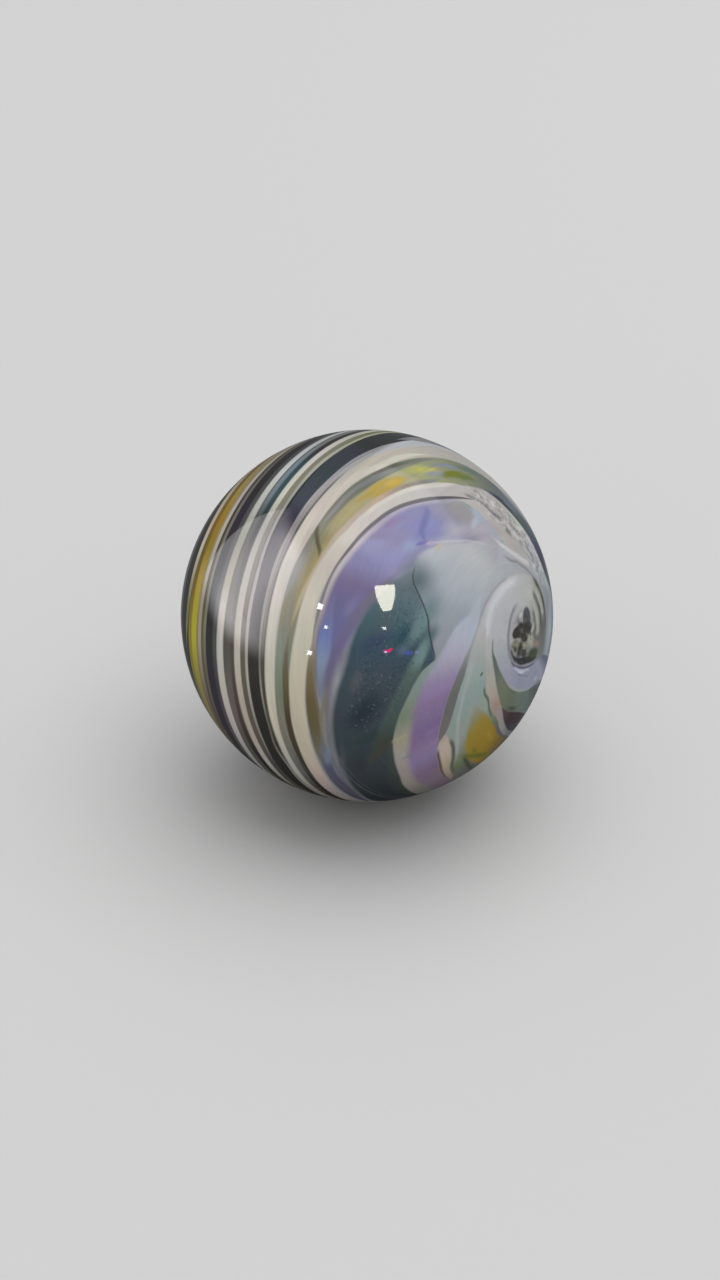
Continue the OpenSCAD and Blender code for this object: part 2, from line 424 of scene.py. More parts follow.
# ---------------------------------------------------------------- rods and clouds, from the lowest up
def wind_stripes(stripes):
    """The round stripes, from the far pole up to the foot of the vortex."""
    for band in [
        (-74, -68, (165, 160, 146)), (-68, -60, (52, 72, 78)), (-60, -56, (172, 168, 162)),
        (-56, -47, (60, 60, 64)), (-47, -44, (96, 90, 102)), (-44, -40.5, (84, 82, 86)),
        (-40.5, -33.7, (34, 33, 30)),
        ([(180, -33.6), (40, -33.4), (10, -33.6), (-20, -34), (-50, -35.5)],
         [(180, -31), (40, -34.5), (25, -33), (15, -31.4), (0, -30.8), (-20, -30.6), (-50, -31)],
         [(180, 150, 146, 126), (10, 118, 118, 78), (0, 165, 158, 130), (-10, 190, 186, 166),
          (-20, 184, 164, 150), (-30, 169, 156, 135), (-45, 122, 110, 84), (-180, 150, 146, 126)],
         (0.7, 0.9)),
        (-30.6, -22.6,
         [(180, 96, 80, 40), (60, 80, 72, 40), (42, 96, 88, 36), (32, 128, 118, 12), (20, 140, 126, 0),
          (5, 122, 98, 0), (-8, 106, 80, 0), (-22, 112, 84, 0), (-36, 96, 72, 14), (-60, 70, 54, 30)], 1),
        (-27.6, -23.4,
         [(180, 110, 98, 52), (60, 96, 90, 64), (42, 128, 120, 70), (32, 150, 142, 52), (20, 180, 172, 24),
          (8, 172, 158, 36), (0, 178, 150, 70), (-10, 138, 120, 22), (-20, 148, 114, 18),
          (-32, 140, 124, 50), (-45, 118, 106, 78), (-62, 110, 102, 98)], 1.4),
        (-23.6, -22.3,
         [(180, 120, 110, 90), (30, 120, 112, 62), (0, 160, 150, 110), (-30, 142, 128, 110),
          (-60, 110, 104, 96)], 0.8, 0.7),
        (-22.4, -20.2,
         [(180, 120, 112, 100), (55, 70, 58, 44), (40, 106, 92, 78), (28, 146, 136, 116),
          (18, 168, 160, 144), (8, 160, 152, 128), (0, 184, 174, 162), (-20, 176, 170, 156),
          (-30, 168, 156, 156), (-42, 152, 150, 138), (-60, 120, 118, 112)], 0.8),
        (-20.2, -18.7,
         [(180, 50, 48, 44), (40, 74, 64, 54), (20, 98, 90, 58), (0, 80, 70, 48), (-20, 46, 38, 22),
          (-45, 52, 46, 36)]),
        (-18.8, -17.2,
         [(180, 84, 80, 72), (50, 64, 58, 56), (30, 98, 92, 76), (14, 130, 126, 102), (0, 126, 122, 108),
          (-20, 112, 110, 104), (-45, 76, 71, 66)], 0.7),
        (-17.2, -11.3,
         [(180, 32, 34, 32), (60, 26, 24, 22), (42, 24, 14, 34), (33, 26, 12, 40), (18, 26, 34, 30),
          (0, 26, 30, 32), (-14, 30, 30, 34), (-22, 34, 16, 44), (-32, 16, 18, 16), (-55, 20, 18, 20)]),
        (-13.4, -11.3,
         [(180, 60, 60, 58), (60, 84, 82, 82), (42, 80, 72, 76), (32, 64, 58, 64), (18, 82, 84, 78),
          (0, 72, 68, 74), (-25, 76, 78, 76), (-50, 60, 62, 66)], 1.2, 0.75),
        ([(180, -11), (0, -11.2)],
         [(180, -8.2), (60, -8.4), (48, -8), (38, -7.4), (8, -7.3), (-12, -7.8), (-28, -8.4), (-60, -8.6)],
         [(180, 140, 138, 130), (75, 120, 118, 112), (60, 156, 154, 154), (45, 186, 180, 176),
          (30, 198, 196, 182), (15, 202, 200, 192), (0, 166, 156, 142), (-15, 152, 152, 138),
          (-25, 176, 178, 168), (-40, 184, 187, 186), (-58, 158, 158, 160), (-80, 140, 142, 144)],
         (1, 0.9)),
        (-8, -3.3,
         [(180, 84, 90, 88), (62, 76, 74, 66), (50, 82, 80, 72), (40, 102, 92, 91), (30, 98, 94, 88),
          (20, 84, 82, 72), (10, 90, 86, 74), (0, 78, 74, 62), (-12, 84, 80, 76), (-22, 76, 80, 76),
          (-30, 108, 120, 126), (-42, 108, 122, 130), (-58, 98, 98, 96), (-80, 100, 102, 100)], 0.7),
        ([(180, -5.4), (50, -5.6), (30, -4.7), (12, -4.6), (-10, -5.6), (-60, -6)], [(180, -3.4)],
         [(180, 44, 46, 44), (55, 18, 16, 12), (42, 62, 48, 38), (30, 70, 58, 52), (20, 82, 76, 68),
          (10, 60, 52, 26), (0, 46, 46, 34), (-12, 56, 52, 56), (-22, 30, 40, 42), (-30, 50, 72, 76),
          (-42, 30, 60, 68), (-52, 26, 22, 30), (-70, 30, 34, 30)], (1.2, 0.6)),
        ([(180, -3.2), (20, -3), (0, -3.4), (-25, -3.6)],
         [(180, -0.6), (75, -0.6), (20, -0.3), (5, -0.5), (-10, -0.9), (-25, -1.2), (-60, -0.9)],
         [(180, 150, 146, 134), (75, 104, 96, 80), (60, 166, 164, 160), (48, 178, 170, 156),
          (35, 186, 176, 156), (20, 198, 192, 180), (8, 176, 166, 152), (-5, 172, 168, 160),
          (-20, 158, 158, 152), (-30, 194, 194, 180), (-48, 186, 181, 175), (-65, 160, 160, 148)],
         (0.8, 0.8)),
        ([(180, -0.9), (20, -0.4), (0, -0.7), (-25, -1.5), (-60, -1.1)],
         [(180, 1.2), (25, 1.4), (0, 0.9), (-25, 0.4), (-60, 1.1)],
         [(180, 90, 90, 80), (62, 64, 62, 54), (45, 88, 80, 68), (28, 98, 90, 74), (18, 104, 96, 84),
          (8, 70, 50, 24), (-4, 112, 98, 78), (-15, 116, 114, 108), (-30, 124, 122, 104),
          (-50, 110, 110, 96), (-70, 92, 94, 72)], (0.7, 0.6)),
        ([(180, 1.4), (40, 1.5), (0, 1.2), (-20, 0.6), (-40, 0.5), (-60, 1.3)],
         [(180, 2.4), (60, 1.6), (50, 2.3), (20, 2.7), (0, 2.6), (-20, 1.7), (-40, 1.9), (-60, 2.7)],
         [(180, 140, 138, 126), (62, 112, 112, 104), (45, 140, 132, 124), (25, 178, 174, 164),
          (0, 158, 148, 150), (-20, 150, 148, 142), (-40, 154, 154, 144), (-60, 146, 148, 126)],
         (0.6, 0.5)),
        (2.6, 10.6,
         [(180, 26, 30, 30), (80, 34, 34, 26), (60, 20, 18, 14), (42, 20, 18, 14), (30, 36, 33, 28),
          (18, 52, 50, 46), (8, 66, 62, 62), (-8, 64, 60, 66), (-20, 42, 30, 54), (-30, 60, 64, 76),
          (-42, 46, 57, 60), (-52, 43, 46, 56), (-62, 26, 32, 32), (-80, 40, 46, 48)], 0.5),
    ]:
        stripes.band(*band)


def draw_grounds(stripes):
    """The milky glass that the vortex is drawn in, and the olive and gold glass between the ivory rods."""
    stripes.rod([(180, 9.9, 91), (60, 9.6, 91), (0, 9.9, 91), (-60, 11.8, 91), (-180, 9.9, 91)],
        [(180, 112, 118, 122), (100, 126, 130, 134), (40, 150, 154, 158), (0, 160, 165, 172),
         (-60, 164, 168, 174), (-110, 150, 152, 156), (-150, 118, 126, 134), (-180, 112, 118, 122)])
    stripes.unroll()
    for rod in [
        ([(-70, 10, 9), (-90, 8, 17), (-120, 9, 27), (-150, 18, 37), (-166, 27, 39), (-178, 37, 36)],
         [(-80, 110, 110, 112), (-110, 82, 84, 88), (-150, 60, 64, 70)]),
        ([(180, 17, 16.6), (160, 13, 18), (120, 12, 17), (80, 9, 14.5), (60, 9, 15.5), (40, 10, 17),
          (20, 11.5, 18.5), (0, 12, 20.5), (-20, 13.5, 24), (-40, 15, 28.5), (-60, 19, 34.5),
          (-80, 25, 38.5), (-95, 32.5, 44), (-110, 41, 49), (-130, 46, 50), (-140, 51, 49)],
         [(180, 92, 96, 70), (80, 70, 64, 58), (60, 98, 98, 92), (50, 110, 110, 98), (40, 126, 124, 110),
          (30, 124, 134, 114), (18, 132, 140, 124), (8, 142, 138, 118), (-5, 152, 144, 122),
          (-20, 138, 130, 98), (-32, 148, 138, 92), (-45, 150, 140, 92), (-60, 148, 150, 112),
          (-80, 112, 118, 96), (-95, 86, 92, 94), (-120, 70, 76, 90)]),
    ]:
        stripes.rod(*rod)
    # the foot of it, dark beside the lower ivory rod
    for rod in [
        ([(5, 12.4, 12), (-5, 12.8, 15.4), (-15, 13.8, 17), (-25, 14.8, 18), (-35, 15.6, 19.6),
          (-45, 16.8, 21.8), (-55, 18.6, 23), (-65, 21.6, 24.4), (-78, 25.5, 25)],
         [(-5, 150, 150, 146), (-14, 138, 136, 130), (-22, 122, 120, 98), (-32, 98, 94, 80),
          (-42, 74, 80, 58), (-52, 66, 60, 50), (-62, 102, 106, 92), (-74, 110, 118, 112)], (0.8, 1.4)),
        ([(-22, 15.4, 15), (-28, 16.4, 17.4), (-38, 17.4, 18.6), (-48, 19.6, 21.6), (-58, 22.2, 23.6),
          (-68, 24, 23.6)], [(-30, 122, 120, 120), (-45, 86, 90, 90), (-60, 118, 124, 112)]),
    ]:
        stripes.rod(*rod)
    # gold and lemon clouds, and the tan edge over them
    for cloud in [
        (-10, 19, 22, 1.8, (158, 144, 100), -8, 0.9), (-30, 21.4, 12, 1.6, (154, 144, 96), -12, 0.9, 0.8),
        (-46, 24.6, 10.5, 3, (160, 134, 0), -16, 0.45), (-49, 25.6, 5, 1.8, (176, 144, 0), -16, 0.7),
        (-38.5, 22.2, 5, 1.4, (150, 132, 40), -14, 0.8), (-62, 26.8, 8, 3, (160, 160, 98), -18, 0.6),
        (-64, 27.6, 4, 1.5, (172, 172, 84), -18, 0.6), (-66, 30.2, 6, 2.2, (132, 138, 138), -18, 0.8),
        (-74, 32.2, 9.5, 2.2, (104, 110, 30), -7, 0.6), (-79, 34.2, 6, 1.6, (92, 104, 52), -11, 0.8),
        (-74, 28.2, 9, 1.8, (116, 126, 138), -17, 0.8), (-84, 30.5, 8, 2, (80, 100, 88), -22, 0.9),
    ]:
        stripes.cloud(*cloud)
    stripes.rod([(10, 17, 16.6), (0, 17.6, 18.8), (-10, 19.4, 20.4), (-20, 20.8, 22.6), (-30, 23, 25.6),
         (-40, 25.2, 27.8), (-50, 27.8, 30), (-60, 30.8, 32.6), (-68, 33.6, 33)],
        [(0, 188, 176, 150), (-15, 180, 166, 146), (-30, 168, 154, 140), (-42, 166, 142, 120),
         (-52, 120, 108, 92), (-62, 122, 128, 128)], (1.2, 1))
    # grey-green glass, and the brown thread under the upper ivory rod
    stripes.cloud(8, 15.4, 14, 1.2, (148, 144, 136), -4, 0.9, 0.8)
    for rod in [
        ([(90, 8.8, 8.4), (78, 9.2, 11.2), (60, 9.4, 12.2), (48, 9.8, 13), (36, 11.2, 13.9), (26, 12, 14.6),
          (16, 12.6, 15), (8, 13.4, 13)],
         [(75, 66, 56, 48), (60, 98, 98, 94), (50, 112, 112, 102), (40, 124, 122, 108), (30, 116, 128, 104),
          (18, 134, 144, 130)], (1, 1.4)),
        ([(92, 9.6, 9.4), (78, 10, 12), (60, 11.9, 13.9), (50, 12.6, 15), (40, 13.5, 15.6),
          (30, 14.4, 16.6), (22, 15, 16.8), (14, 16, 16.8), (6, 17.2, 16.8)],
         [(75, 34, 22, 12), (60, 36, 34, 28), (48, 62, 54, 36), (38, 70, 58, 38), (28, 96, 88, 60),
          (18, 112, 104, 84), (10, 136, 130, 108)], (0.8, 0.9)),
        ([(-13, 20.4, 19.8), (-16, 18.8, 19.8), (-19, 16.6, 18), (-23, 14.8, 15.8), (-27, 14.6, 14.2)],
         (70, 70, 48), (1.2, 1.2), 0.8),
    ]:
        stripes.rod(*rod)


def fill_windows(stripes):
    """The lavender and the teal window, and the blue and brown rods between them and the ivory."""
    stripes.rod([(34, 26, 25.2), (20, 25, 31), (10, 25, 34.5), (0, 24.4, 37.5), (-10, 26, 41),
         (-20, 27.5, 44.5), (-30, 29.5, 47.5), (-40, 32, 51), (-50, 35.5, 52.5), (-60, 39.5, 53.5),
         (-70, 43, 53), (-78, 46, 45)],
        [(20, 118, 122, 150), (8, 108, 106, 150), (-2, 108, 104, 146), (-10, 117, 106, 141),
         (-17, 134, 131, 170), (-30, 130, 123, 162), (-42, 120, 118, 162), (-50, 118, 116, 156),
         (-58, 126, 130, 150), (-66, 142, 142, 148), (-75, 150, 152, 154)], (1, 2.6))
    for cloud in [
        (-24, 33, 9, 3.4, (132, 132, 170), -22, 0.9), (-36, 33.6, 8, 2.2, (124, 106, 146), -24, 0.9, 0.8),
        (-2, 33.4, 8, 2.6, (126, 120, 158), -16, 0.9, 0.7),
        (16, 33, 8, 2.2, (124, 120, 134), -14, 0.9, 0.8),
    ]:
        stripes.cloud(*cloud)
    stripes.rod([(180, 18, 17), (150, 16, 20), (130, 15.5, 24), (100, 16.5, 31), (90, 18, 34),
         (80, 20.5, 37), (70, 22.5, 40.5), (60, 24.5, 43), (50, 26, 46), (40, 27.8, 49.5), (30, 30.5, 54.5),
         (20, 33.5, 60), (10, 35, 61), (0, 37, 58.5), (-10, 39.8, 54.5), (-18, 43.5, 50), (-24, 47, 47.6),
         (-28, 49, 47)],
        [(180, 36, 38, 40), (95, 26, 34, 38), (80, 28, 38, 44), (62, 46, 56, 62), (50, 46, 62, 68),
         (38, 54, 66, 74), (25, 60, 74, 84), (12, 56, 78, 92), (0, 70, 96, 104), (-12, 92, 110, 118),
         (-22, 104, 116, 124)], (2.4, 0.8))
    for cloud in [
        (8, 42.5, 10, 4.5, (50, 62, 96), -30, 1, 0.7), (6, 49, 9, 4, (48, 80, 88), -30, 1, 0.8),
        (36, 38.5, 14, 4.6, (36, 50, 58), -22, 1, 0.8), (62, 30, 16, 3.6, (40, 46, 54), -16, 1, 0.8),
        (58, 26, 14, 1.8, (78, 80, 88), -16, 1, 0.8), (24, 37, 6, 3, (90, 92, 100), -22, 1, 0.6),
    ]:
        stripes.cloud(*cloud)
    stripes.rod([(100, 28.5, 28), (88, 30, 34.4), (74, 34.5, 39.2), (60, 39.2, 43.6), (50, 41.8, 46.6),
         (40, 45.2, 50.2), (30, 50, 55), (24, 53.6, 57.8), (18, 58.4, 58)],
        [(85, 44, 52, 46), (60, 60, 70, 66), (45, 70, 86, 84), (32, 78, 92, 96), (22, 84, 98, 96)],
        (5, 1.6), 0.85)
    # mauve edge of the teal, then indigo, brown and bright blue rods
    for rod in [
        ([(84, 19.4, 19), (76, 20, 21.2), (66, 21.6, 23.2), (56, 23, 24.8), (46, 24.8, 26.6),
          (36, 26.4, 28.4), (26, 27.6, 30.2), (18, 28.8, 31.6), (10, 30.8, 33.6), (2, 33.6, 36.6),
          (-6, 36.6, 39.4), (-14, 40, 41.8), (-20, 42.6, 42.2)],
         [(76, 72, 74, 80), (62, 88, 88, 100), (50, 104, 102, 106), (40, 112, 106, 106),
          (28, 110, 102, 116), (18, 108, 100, 136), (8, 112, 104, 140), (-2, 116, 110, 128),
          (-14, 117, 114, 118)], (1.6, 3), 0.85),
        ([(95, 15.6, 15), (84, 16.4, 19), (74, 17.2, 21), (62, 18.6, 22), (54, 19.8, 23.4), (46, 21, 24.2),
          (38, 22.6, 24.6), (32, 24.4, 24)],
         [(84, 66, 66, 80), (72, 76, 74, 92), (60, 84, 84, 108), (52, 106, 114, 120), (44, 112, 114, 102),
          (36, 126, 116, 92)], (1.2, 1.4)),
        ([(60, 19.2, 19), (52, 19.6, 21), (44, 20.4, 23.6), (34, 21.2, 25.2), (24, 22.2, 25.2),
          (15, 23, 25.4), (6, 24.4, 24.2)],
         [(54, 112, 110, 96), (42, 100, 90, 60), (32, 104, 90, 54), (22, 122, 110, 78),
          (12, 150, 142, 130)], (0.9, 1.6)),
    ]:
        stripes.rod(*rod)
    for cloud in [
        (37, 26, 13, 1.5, (126, 120, 98), -12, 0.9, 0.9),
        (54, 22.6, 7, 1.7, (112, 128, 148), -16, 0.8, 0.9),
    ]:
        stripes.cloud(*cloud)
    stripes.rod([(32, 26, 25.6), (24, 25.8, 27.2), (15, 25.6, 29.2), (8, 25.8, 29.4), (0, 26.8, 28.4),
         (-6, 27.6, 27.4)],
        [(26, 124, 136, 150), (18, 134, 148, 176), (9, 112, 126, 179), (0, 116, 112, 150)], (0.9, 1.6))


def lay_ivory(stripes):
    """The two ivory rods, which carry the swirl, and the fine lines along them."""
    for rod in [
        ([(180, 14.4, 14), (162, 13.2, 15), (130, 13, 15.5), (90, 11.4, 15.2), (76, 12.2, 16),
          (60, 13.7, 18.1), (50, 14.7, 19.3), (40, 15.5, 20.4), (30, 16.5, 21.4), (20, 17.4, 22.6),
          (10, 18.4, 23.9), (0, 19, 23.6), (-10, 20.2, 24.8), (-20, 22.2, 26.7), (-30, 25.2, 28.7),
          (-40, 27.6, 31.3), (-50, 29.8, 34.6), (-60, 32.8, 38.6), (-68, 35.2, 43.2), (-73, 37, 49),
          (-78, 38.2, 57), (-83, 38.6, 61), (-89, 41.4, 63.2), (-95, 44.8, 64), (-101, 47.9, 64.3),
          (-107, 50.4, 64.1), (-113, 53.2, 63.8), (-119, 55.4, 63.5), (-126, 57.2, 63), (-133, 57.6, 61.8),
          (-140, 56.6, 60.2), (-152, 56, 58), (-165, 55, 54.5)],
         [(180, 130, 126, 116), (90, 128, 122, 116), (76, 152, 144, 142), (60, 192, 174, 162),
          (50, 196, 187, 166), (30, 206, 196, 174), (10, 204, 200, 183), (0, 208, 201, 186),
          (-12, 194, 187, 178), (-22, 198, 192, 182), (-32, 184, 176, 172), (-42, 180, 174, 168),
          (-55, 170, 168, 166), (-72, 170, 166, 162), (-88, 160, 156, 154), (-105, 160, 160, 162),
          (-125, 152, 158, 160), (-160, 112, 120, 128)], (0.8, 1)),
        ([(-24, 23.6, 23.2), (-32, 25, 26.2), (-42, 27.4, 28.8), (-52, 30, 31.6), (-62, 33.2, 35.2),
          (-74, 37, 36.4)], (194, 190, 182), (0.8, 0.9), 0.8),
        ([(15, 24.3, 24), (6, 24.6, 25.6), (-10, 25.7, 26.8), (-20, 27.6, 28.9), (-30, 30, 31.2),
          (-40, 32.4, 33.4), (-50, 36, 36.9), (-62, 40.4, 41), (-70, 42.4, 42)],
         [(8, 150, 142, 152), (0, 176, 165, 166), (-12, 194, 187, 184), (-22, 190, 181, 186),
          (-34, 162, 154, 164), (-60, 156, 154, 164)], (0.6, 2), 0.95),
        ([(16, 23.9, 23.5), (6, 23.9, 24.4), (-6, 24.5, 25.1), (-13, 25.2, 25.8), (-20, 26.6, 27.5),
          (-30, 28.6, 29.7), (-40, 31, 32.3), (-50, 34.5, 35.9), (-60, 38.2, 39.4), (-70, 41.4, 42),
          (-78, 43.8, 43.4)],
         [(10, 140, 132, 124), (-5, 128, 122, 118), (-15, 118, 112, 112), (-30, 90, 84, 88),
          (-45, 84, 80, 84), (-70, 84, 80, 84)], (0.5, 0.5)),
        ([(180, 11, 10.4), (160, 8.6, 12.4), (130, 6.6, 10.6), (100, 5.6, 9), (76, 5.5, 8.6),
          (60, 6.4, 9.5), (50, 7.6, 10), (40, 8, 10.7), (30, 8.4, 11.7), (20, 8.8, 12.4), (10, 9, 12.7),
          (0, 9.1, 12.9), (-10, 9.3, 13.5), (-20, 9.9, 14.6), (-30, 10.6, 15.5), (-40, 11.6, 16.6),
          (-50, 12.4, 18.7), (-60, 14, 20.7), (-80, 17, 25.4), (-100, 21, 34), (-130, 31, 43),
          (-160, 39, 49), (-178, 44, 50), (-180, 46, 45)],
         [(180, 170, 162, 148), (95, 112, 106, 98), (76, 132, 128, 120), (60, 176, 173, 167),
          (50, 190, 186, 175), (40, 206, 198, 180), (30, 210, 206, 188), (10, 205, 200, 187),
          (0, 208, 200, 191), (-10, 193, 186, 177), (-20, 205, 197, 185), (-30, 186, 177, 169),
          (-42, 172, 166, 155), (-60, 172, 165, 154), (-90, 150, 148, 145)], (0.8, 0.9)),
        ([(-8, 12.8, 12.6), (-20, 13, 14.4), (-32, 12.8, 15.4), (-44, 14.2, 17), (-54, 17, 19.6),
          (-64, 18.4, 20.6), (-76, 23, 22.6)],
         [(-12, 184, 178, 172), (-30, 180, 169, 160), (-45, 180, 172, 160), (-60, 190, 190, 175)], (1, 0.8),
         0.8),
        ([(72, 5.6, 5.4), (60, 6.6, 7.4), (50, 7, 7.8), (40, 7.2, 8), (28, 7.4, 8.4), (15, 7.6, 8.7),
          (0, 7.7, 8.7), (-12, 7.9, 8.8), (-20, 8.2, 9.2), (-30, 8.6, 10), (-42, 9.6, 11.2),
          (-55, 11.2, 13), (-70, 13, 12.6)],
         [(60, 70, 66, 60), (50, 50, 48, 26), (40, 76, 74, 54), (30, 66, 60, 44), (20, 84, 80, 68),
          (8, 130, 124, 116), (-8, 132, 126, 120), (-20, 136, 130, 126), (-32, 158, 152, 150),
          (-44, 156, 154, 152), (-60, 142, 140, 138)], (0.5, 1.2)),
        ([(84, 5.2, 5), (75, 5.6, 7), (60, 6.3, 7.2), (50, 5.7, 6.6), (42, 6.5, 7.1), (30, 6.6, 7.3),
          (20, 6.7, 7.4), (0, 6.6, 7.7), (-12, 6.7, 7.8), (-20, 7.2, 8.2), (-30, 7.6, 8.6), (-40, 8.6, 9.5),
          (-50, 9.4, 10.4), (-60, 10.5, 11.6), (-74, 12, 11.8)],
         [(75, 132, 128, 120), (60, 128, 128, 120), (50, 100, 97, 92), (38, 110, 110, 92),
          (30, 152, 148, 139), (20, 122, 118, 112), (8, 154, 148, 144), (-10, 148, 140, 140),
          (-20, 130, 126, 126), (-30, 158, 156, 158), (-45, 142, 144, 147), (-62, 124, 124, 127)],
         (0.4, 0.4)),
    ]:
        stripes.rod(*rod)


def mist_the_vortex(vortex):
    """Milky glass round the ring, the lavender over it and the blue-grey glass at its right."""
    for curl in [
        ([(-46, 24), (-44, 30), (-38, 34), (-32, 38.5), (-26, 41), (-20, 42.3), (-15, 43), (-10, 42.5),
          (-6, 40)], [(-40, 22), (-33, 23), (-25, 24), (-18, 25), (-12, 27), (-8, 32)],
         [(-44, 26, 125, 121, 160), (-37, 31, 114, 116, 165), (-32, 36, 118, 115, 156),
          (-27, 37, 130, 128, 148), (-23, 37, 140, 137, 144), (-18, 37, 146, 143, 146),
          (-14, 38, 150, 158, 168)], (3, 1)),
        ([(-27, -14), (-31, -11), (-32, -9), (-33.5, -6), (-35.3, -1), (-36, 1.5), (-38, 6), (-40, 10),
          (-41.3, 13), (-41, 17), (-40, 20.5), (-37.5, 23), (-33, 25), (-28, 26.2), (-22, 27.2),
          (-17, 28.4), (-12, 30.5), (-9, 31)], [(-27, -10), (-24, -4), (-20, 5), (-16, 16), (-12, 22)],
         [(-30, -10, 140, 146, 154), (-30, -4, 146, 150, 160), (-30, 6, 150, 158, 166),
          (-28, 15, 164, 170, 177), (-22, 24, 172, 176, 179), (-13, 29, 157, 156, 164)], (3, 1.8)),
    ]:
        vortex.curl(*curl)
    for cloud in [
        (-40.5, 14, 11, 8.5, (88, 104, 110), 82), (-36.5, 4, 11, 5.5, (112, 130, 138), 68, 1, 0.9),
        (-34.8, -3, 6, 3, (80, 104, 110), 66), (-29, 26, 10, 4.4, (166, 166, 172), 8, 1, 0.85),
        (-24, 31, 10, 5, (160, 158, 169), 12, 1, 0.95), (-15, 32.5, 8, 4.5, (161, 158, 168), 20, 1, 0.95),
        (-21.5, 38, 8, 5.5, (142, 139, 142), 14, 1, 0.95),
        (-29, 37.5, 5.5, 4.5, (122, 121, 146), 50, 1, 0.8), (-48, 20, 9, 4.6, (130, 129, 176), 18),
        (-41.5, 24.5, 6, 3.2, (133, 143, 179), 36), (-50, 28, 8, 3, (125, 115, 152), 10),
        (-44, 28.5, 6, 2.8, (124, 121, 160), 14), (-37.5, 29, 5.5, 3, (112, 114, 164), 40),
        (-33.5, 32.5, 5, 3.2, (114, 118, 168), 50),
    ]:
        vortex.cloud(*cloud)
    for thread in [
        ([(-36, 25.4), (-31, 26.6), (-25, 27.4), (-19, 27.6), (-14, 27)], 0.7, (180, 178, 182), 1.2, 0.6),
        ([(-36, 25), (-37.2, 29), (-35, 34), (-32, 39)], 1.6, (84, 92, 146), 2, 0.8),
    ]:
        vortex.thread(*thread)
    for cloud in [
        (-38, 25.6, 2.6, 0.9, (100, 92, 160), 20, 0.7), (-35, 25.8, 2.2, 1, (166, 152, 180), 24, 0.7),
        (-32.6, 24.8, 2.4, 0.9, (176, 166, 142), 40, 0.7), (-17.6, 41, 3.8, 1.6, (126, 148, 138), -40, 0.9),
        (-14.5, 38.5, 6, 2.6, (150, 162, 176), 74, 0.7), (-17.4, 34, 4.5, 1.8, (160, 166, 178), 50, 0.8),
        (-15.5, 29.5, 3.5, 1.8, (160, 150, 168), 20, 0.9, 0.8),
        (-26, 17, 14, 7, (170, 175, 181), 62, 1, 0.7), (-22, 22, 9, 4.5, (177, 180, 181), 20, 1, 0.8),
        (28, 4, 24, 12, (112, 120, 130), 90), (21, 3, 15, 6, (156, 166, 172), 92, 1, 0.9),
    ]:
        vortex.cloud(*cloud)


def draw_ring(vortex):
    """The pale ring round the eye, with the dark arcs at its right."""
    vortex.field(40, -5,
        [(40, 17), (10, 17.8), (-6, 18.4), (-18, 19), (-30, 19.3), (-66, 19.4), (-90, 19.5), (-104, 20),
         (-114, 20.4), (-126, 19.5), (-139, 18.4), (-153, 17.2), (-169, 16.2), (-200, 16), (-280, 16),
         (-320, 17)],
        [(40, 168, 170, 173), (0, 176, 177, 181), (-60, 176, 177, 180), (-100, 168, 168, 166),
         (-118, 148, 148, 142), (-138, 136, 138, 132), (-154, 106, 108, 104), (-180, 104, 104, 103),
         (-196, 108, 114, 113), (-216, 132, 136, 140), (-240, 148, 150, 160), (-320, 168, 170, 173)],
        (1, 1.4))
    for thread in [
        # painted shade: this first thread is a thin grey line along the ring's left edge, between it and the
        # milky ground
        ([(-18.6, -1), (-19.2, 3), (-18.8, 6), (-17.4, 9.2), (-14.4, 13.2), (-10.8, 16.2), (-7, 18.2)], 0.7,
         (148, 148, 154), 0.8, 0.8),
        ([(-15.6, -6), (-15.6, -3), (-16.2, 3), (-15.2, 8), (-12.5, 12), (-9, 15), (-6, 16.6), (-2, 17.6)],
         2, (195, 196, 200), 2.2),
    ]:
        vortex.thread(*thread)
    for cloud in [
        (-9.3, -4.2, 4.2, 2.4, (136, 139, 144), 110, 0.9), (-9.2, 5, 6, 2.6, (170, 171, 175), 90, 1, 0.8),
        (3, 13.8, 6, 4, (176, 176, 173), 0, 1, 0.9), (8.2, 16.4, 5, 2.4, (140, 142, 132), -42, 1, 0.9),
    ]:
        vortex.cloud(*cloud)
    vortex.curl([(5.6, 19.4), (7.6, 19), (9.6, 17.6), (11.4, 15.8), (13, 13.6), (14.2, 11), (15, 8.4),
         (15.6, 5.6), (16, 2.6)],
        [(7, 17.4), (8.8, 16), (10.6, 14.2), (12, 12.2), (13.2, 9.8), (14, 7.6), (14.8, 5)],
        [(7, 18.4, 96, 98, 88), (8.4, 17.4, 70, 73, 64), (10, 16, 96, 98, 90), (12.2, 13.4, 58, 62, 56),
         (14, 10, 80, 84, 84), (15, 6, 74, 80, 86), (15.6, 4, 92, 98, 100)], (0.8, 0.7))
    for thread in [
        ([(6, 16), (8.4, 13.8), (10.2, 11.6), (11.4, 9.8), (12.2, 8)], 1.3, (164, 166, 162), 1.4),
        ([(4, 15.2), (5.4, 14.1), (7.4, 12.2), (9.2, 10.2), (10.2, 8.2), (10.8, 6.2), (11.4, 4.4)], 1.8,
         (98, 99, 92), 1.6),
        ([(8.4, 11.8), (9.7, 9.8), (10.3, 7.8), (10.8, 6), (11.2, 4.6)], 0.9, (72, 73, 66), 1, 0.9),
        ([(3.6, 12.4), (6, 10), (7.4, 7.8), (8.3, 5.6), (8.8, 3.4), (9, 1.6)], 2, (160, 162, 156), 1.8),
        ([(4.4, 9.4), (5.4, 7.9), (6.1, 6.2), (6.7, 4.4), (7, 2.6)], 1.1, (96, 98, 92), 1),
    ]:
        vortex.thread(*thread)
    vortex.cloud(5, 4, 2.6, 1.5, (170, 170, 162), 70, 0.9)


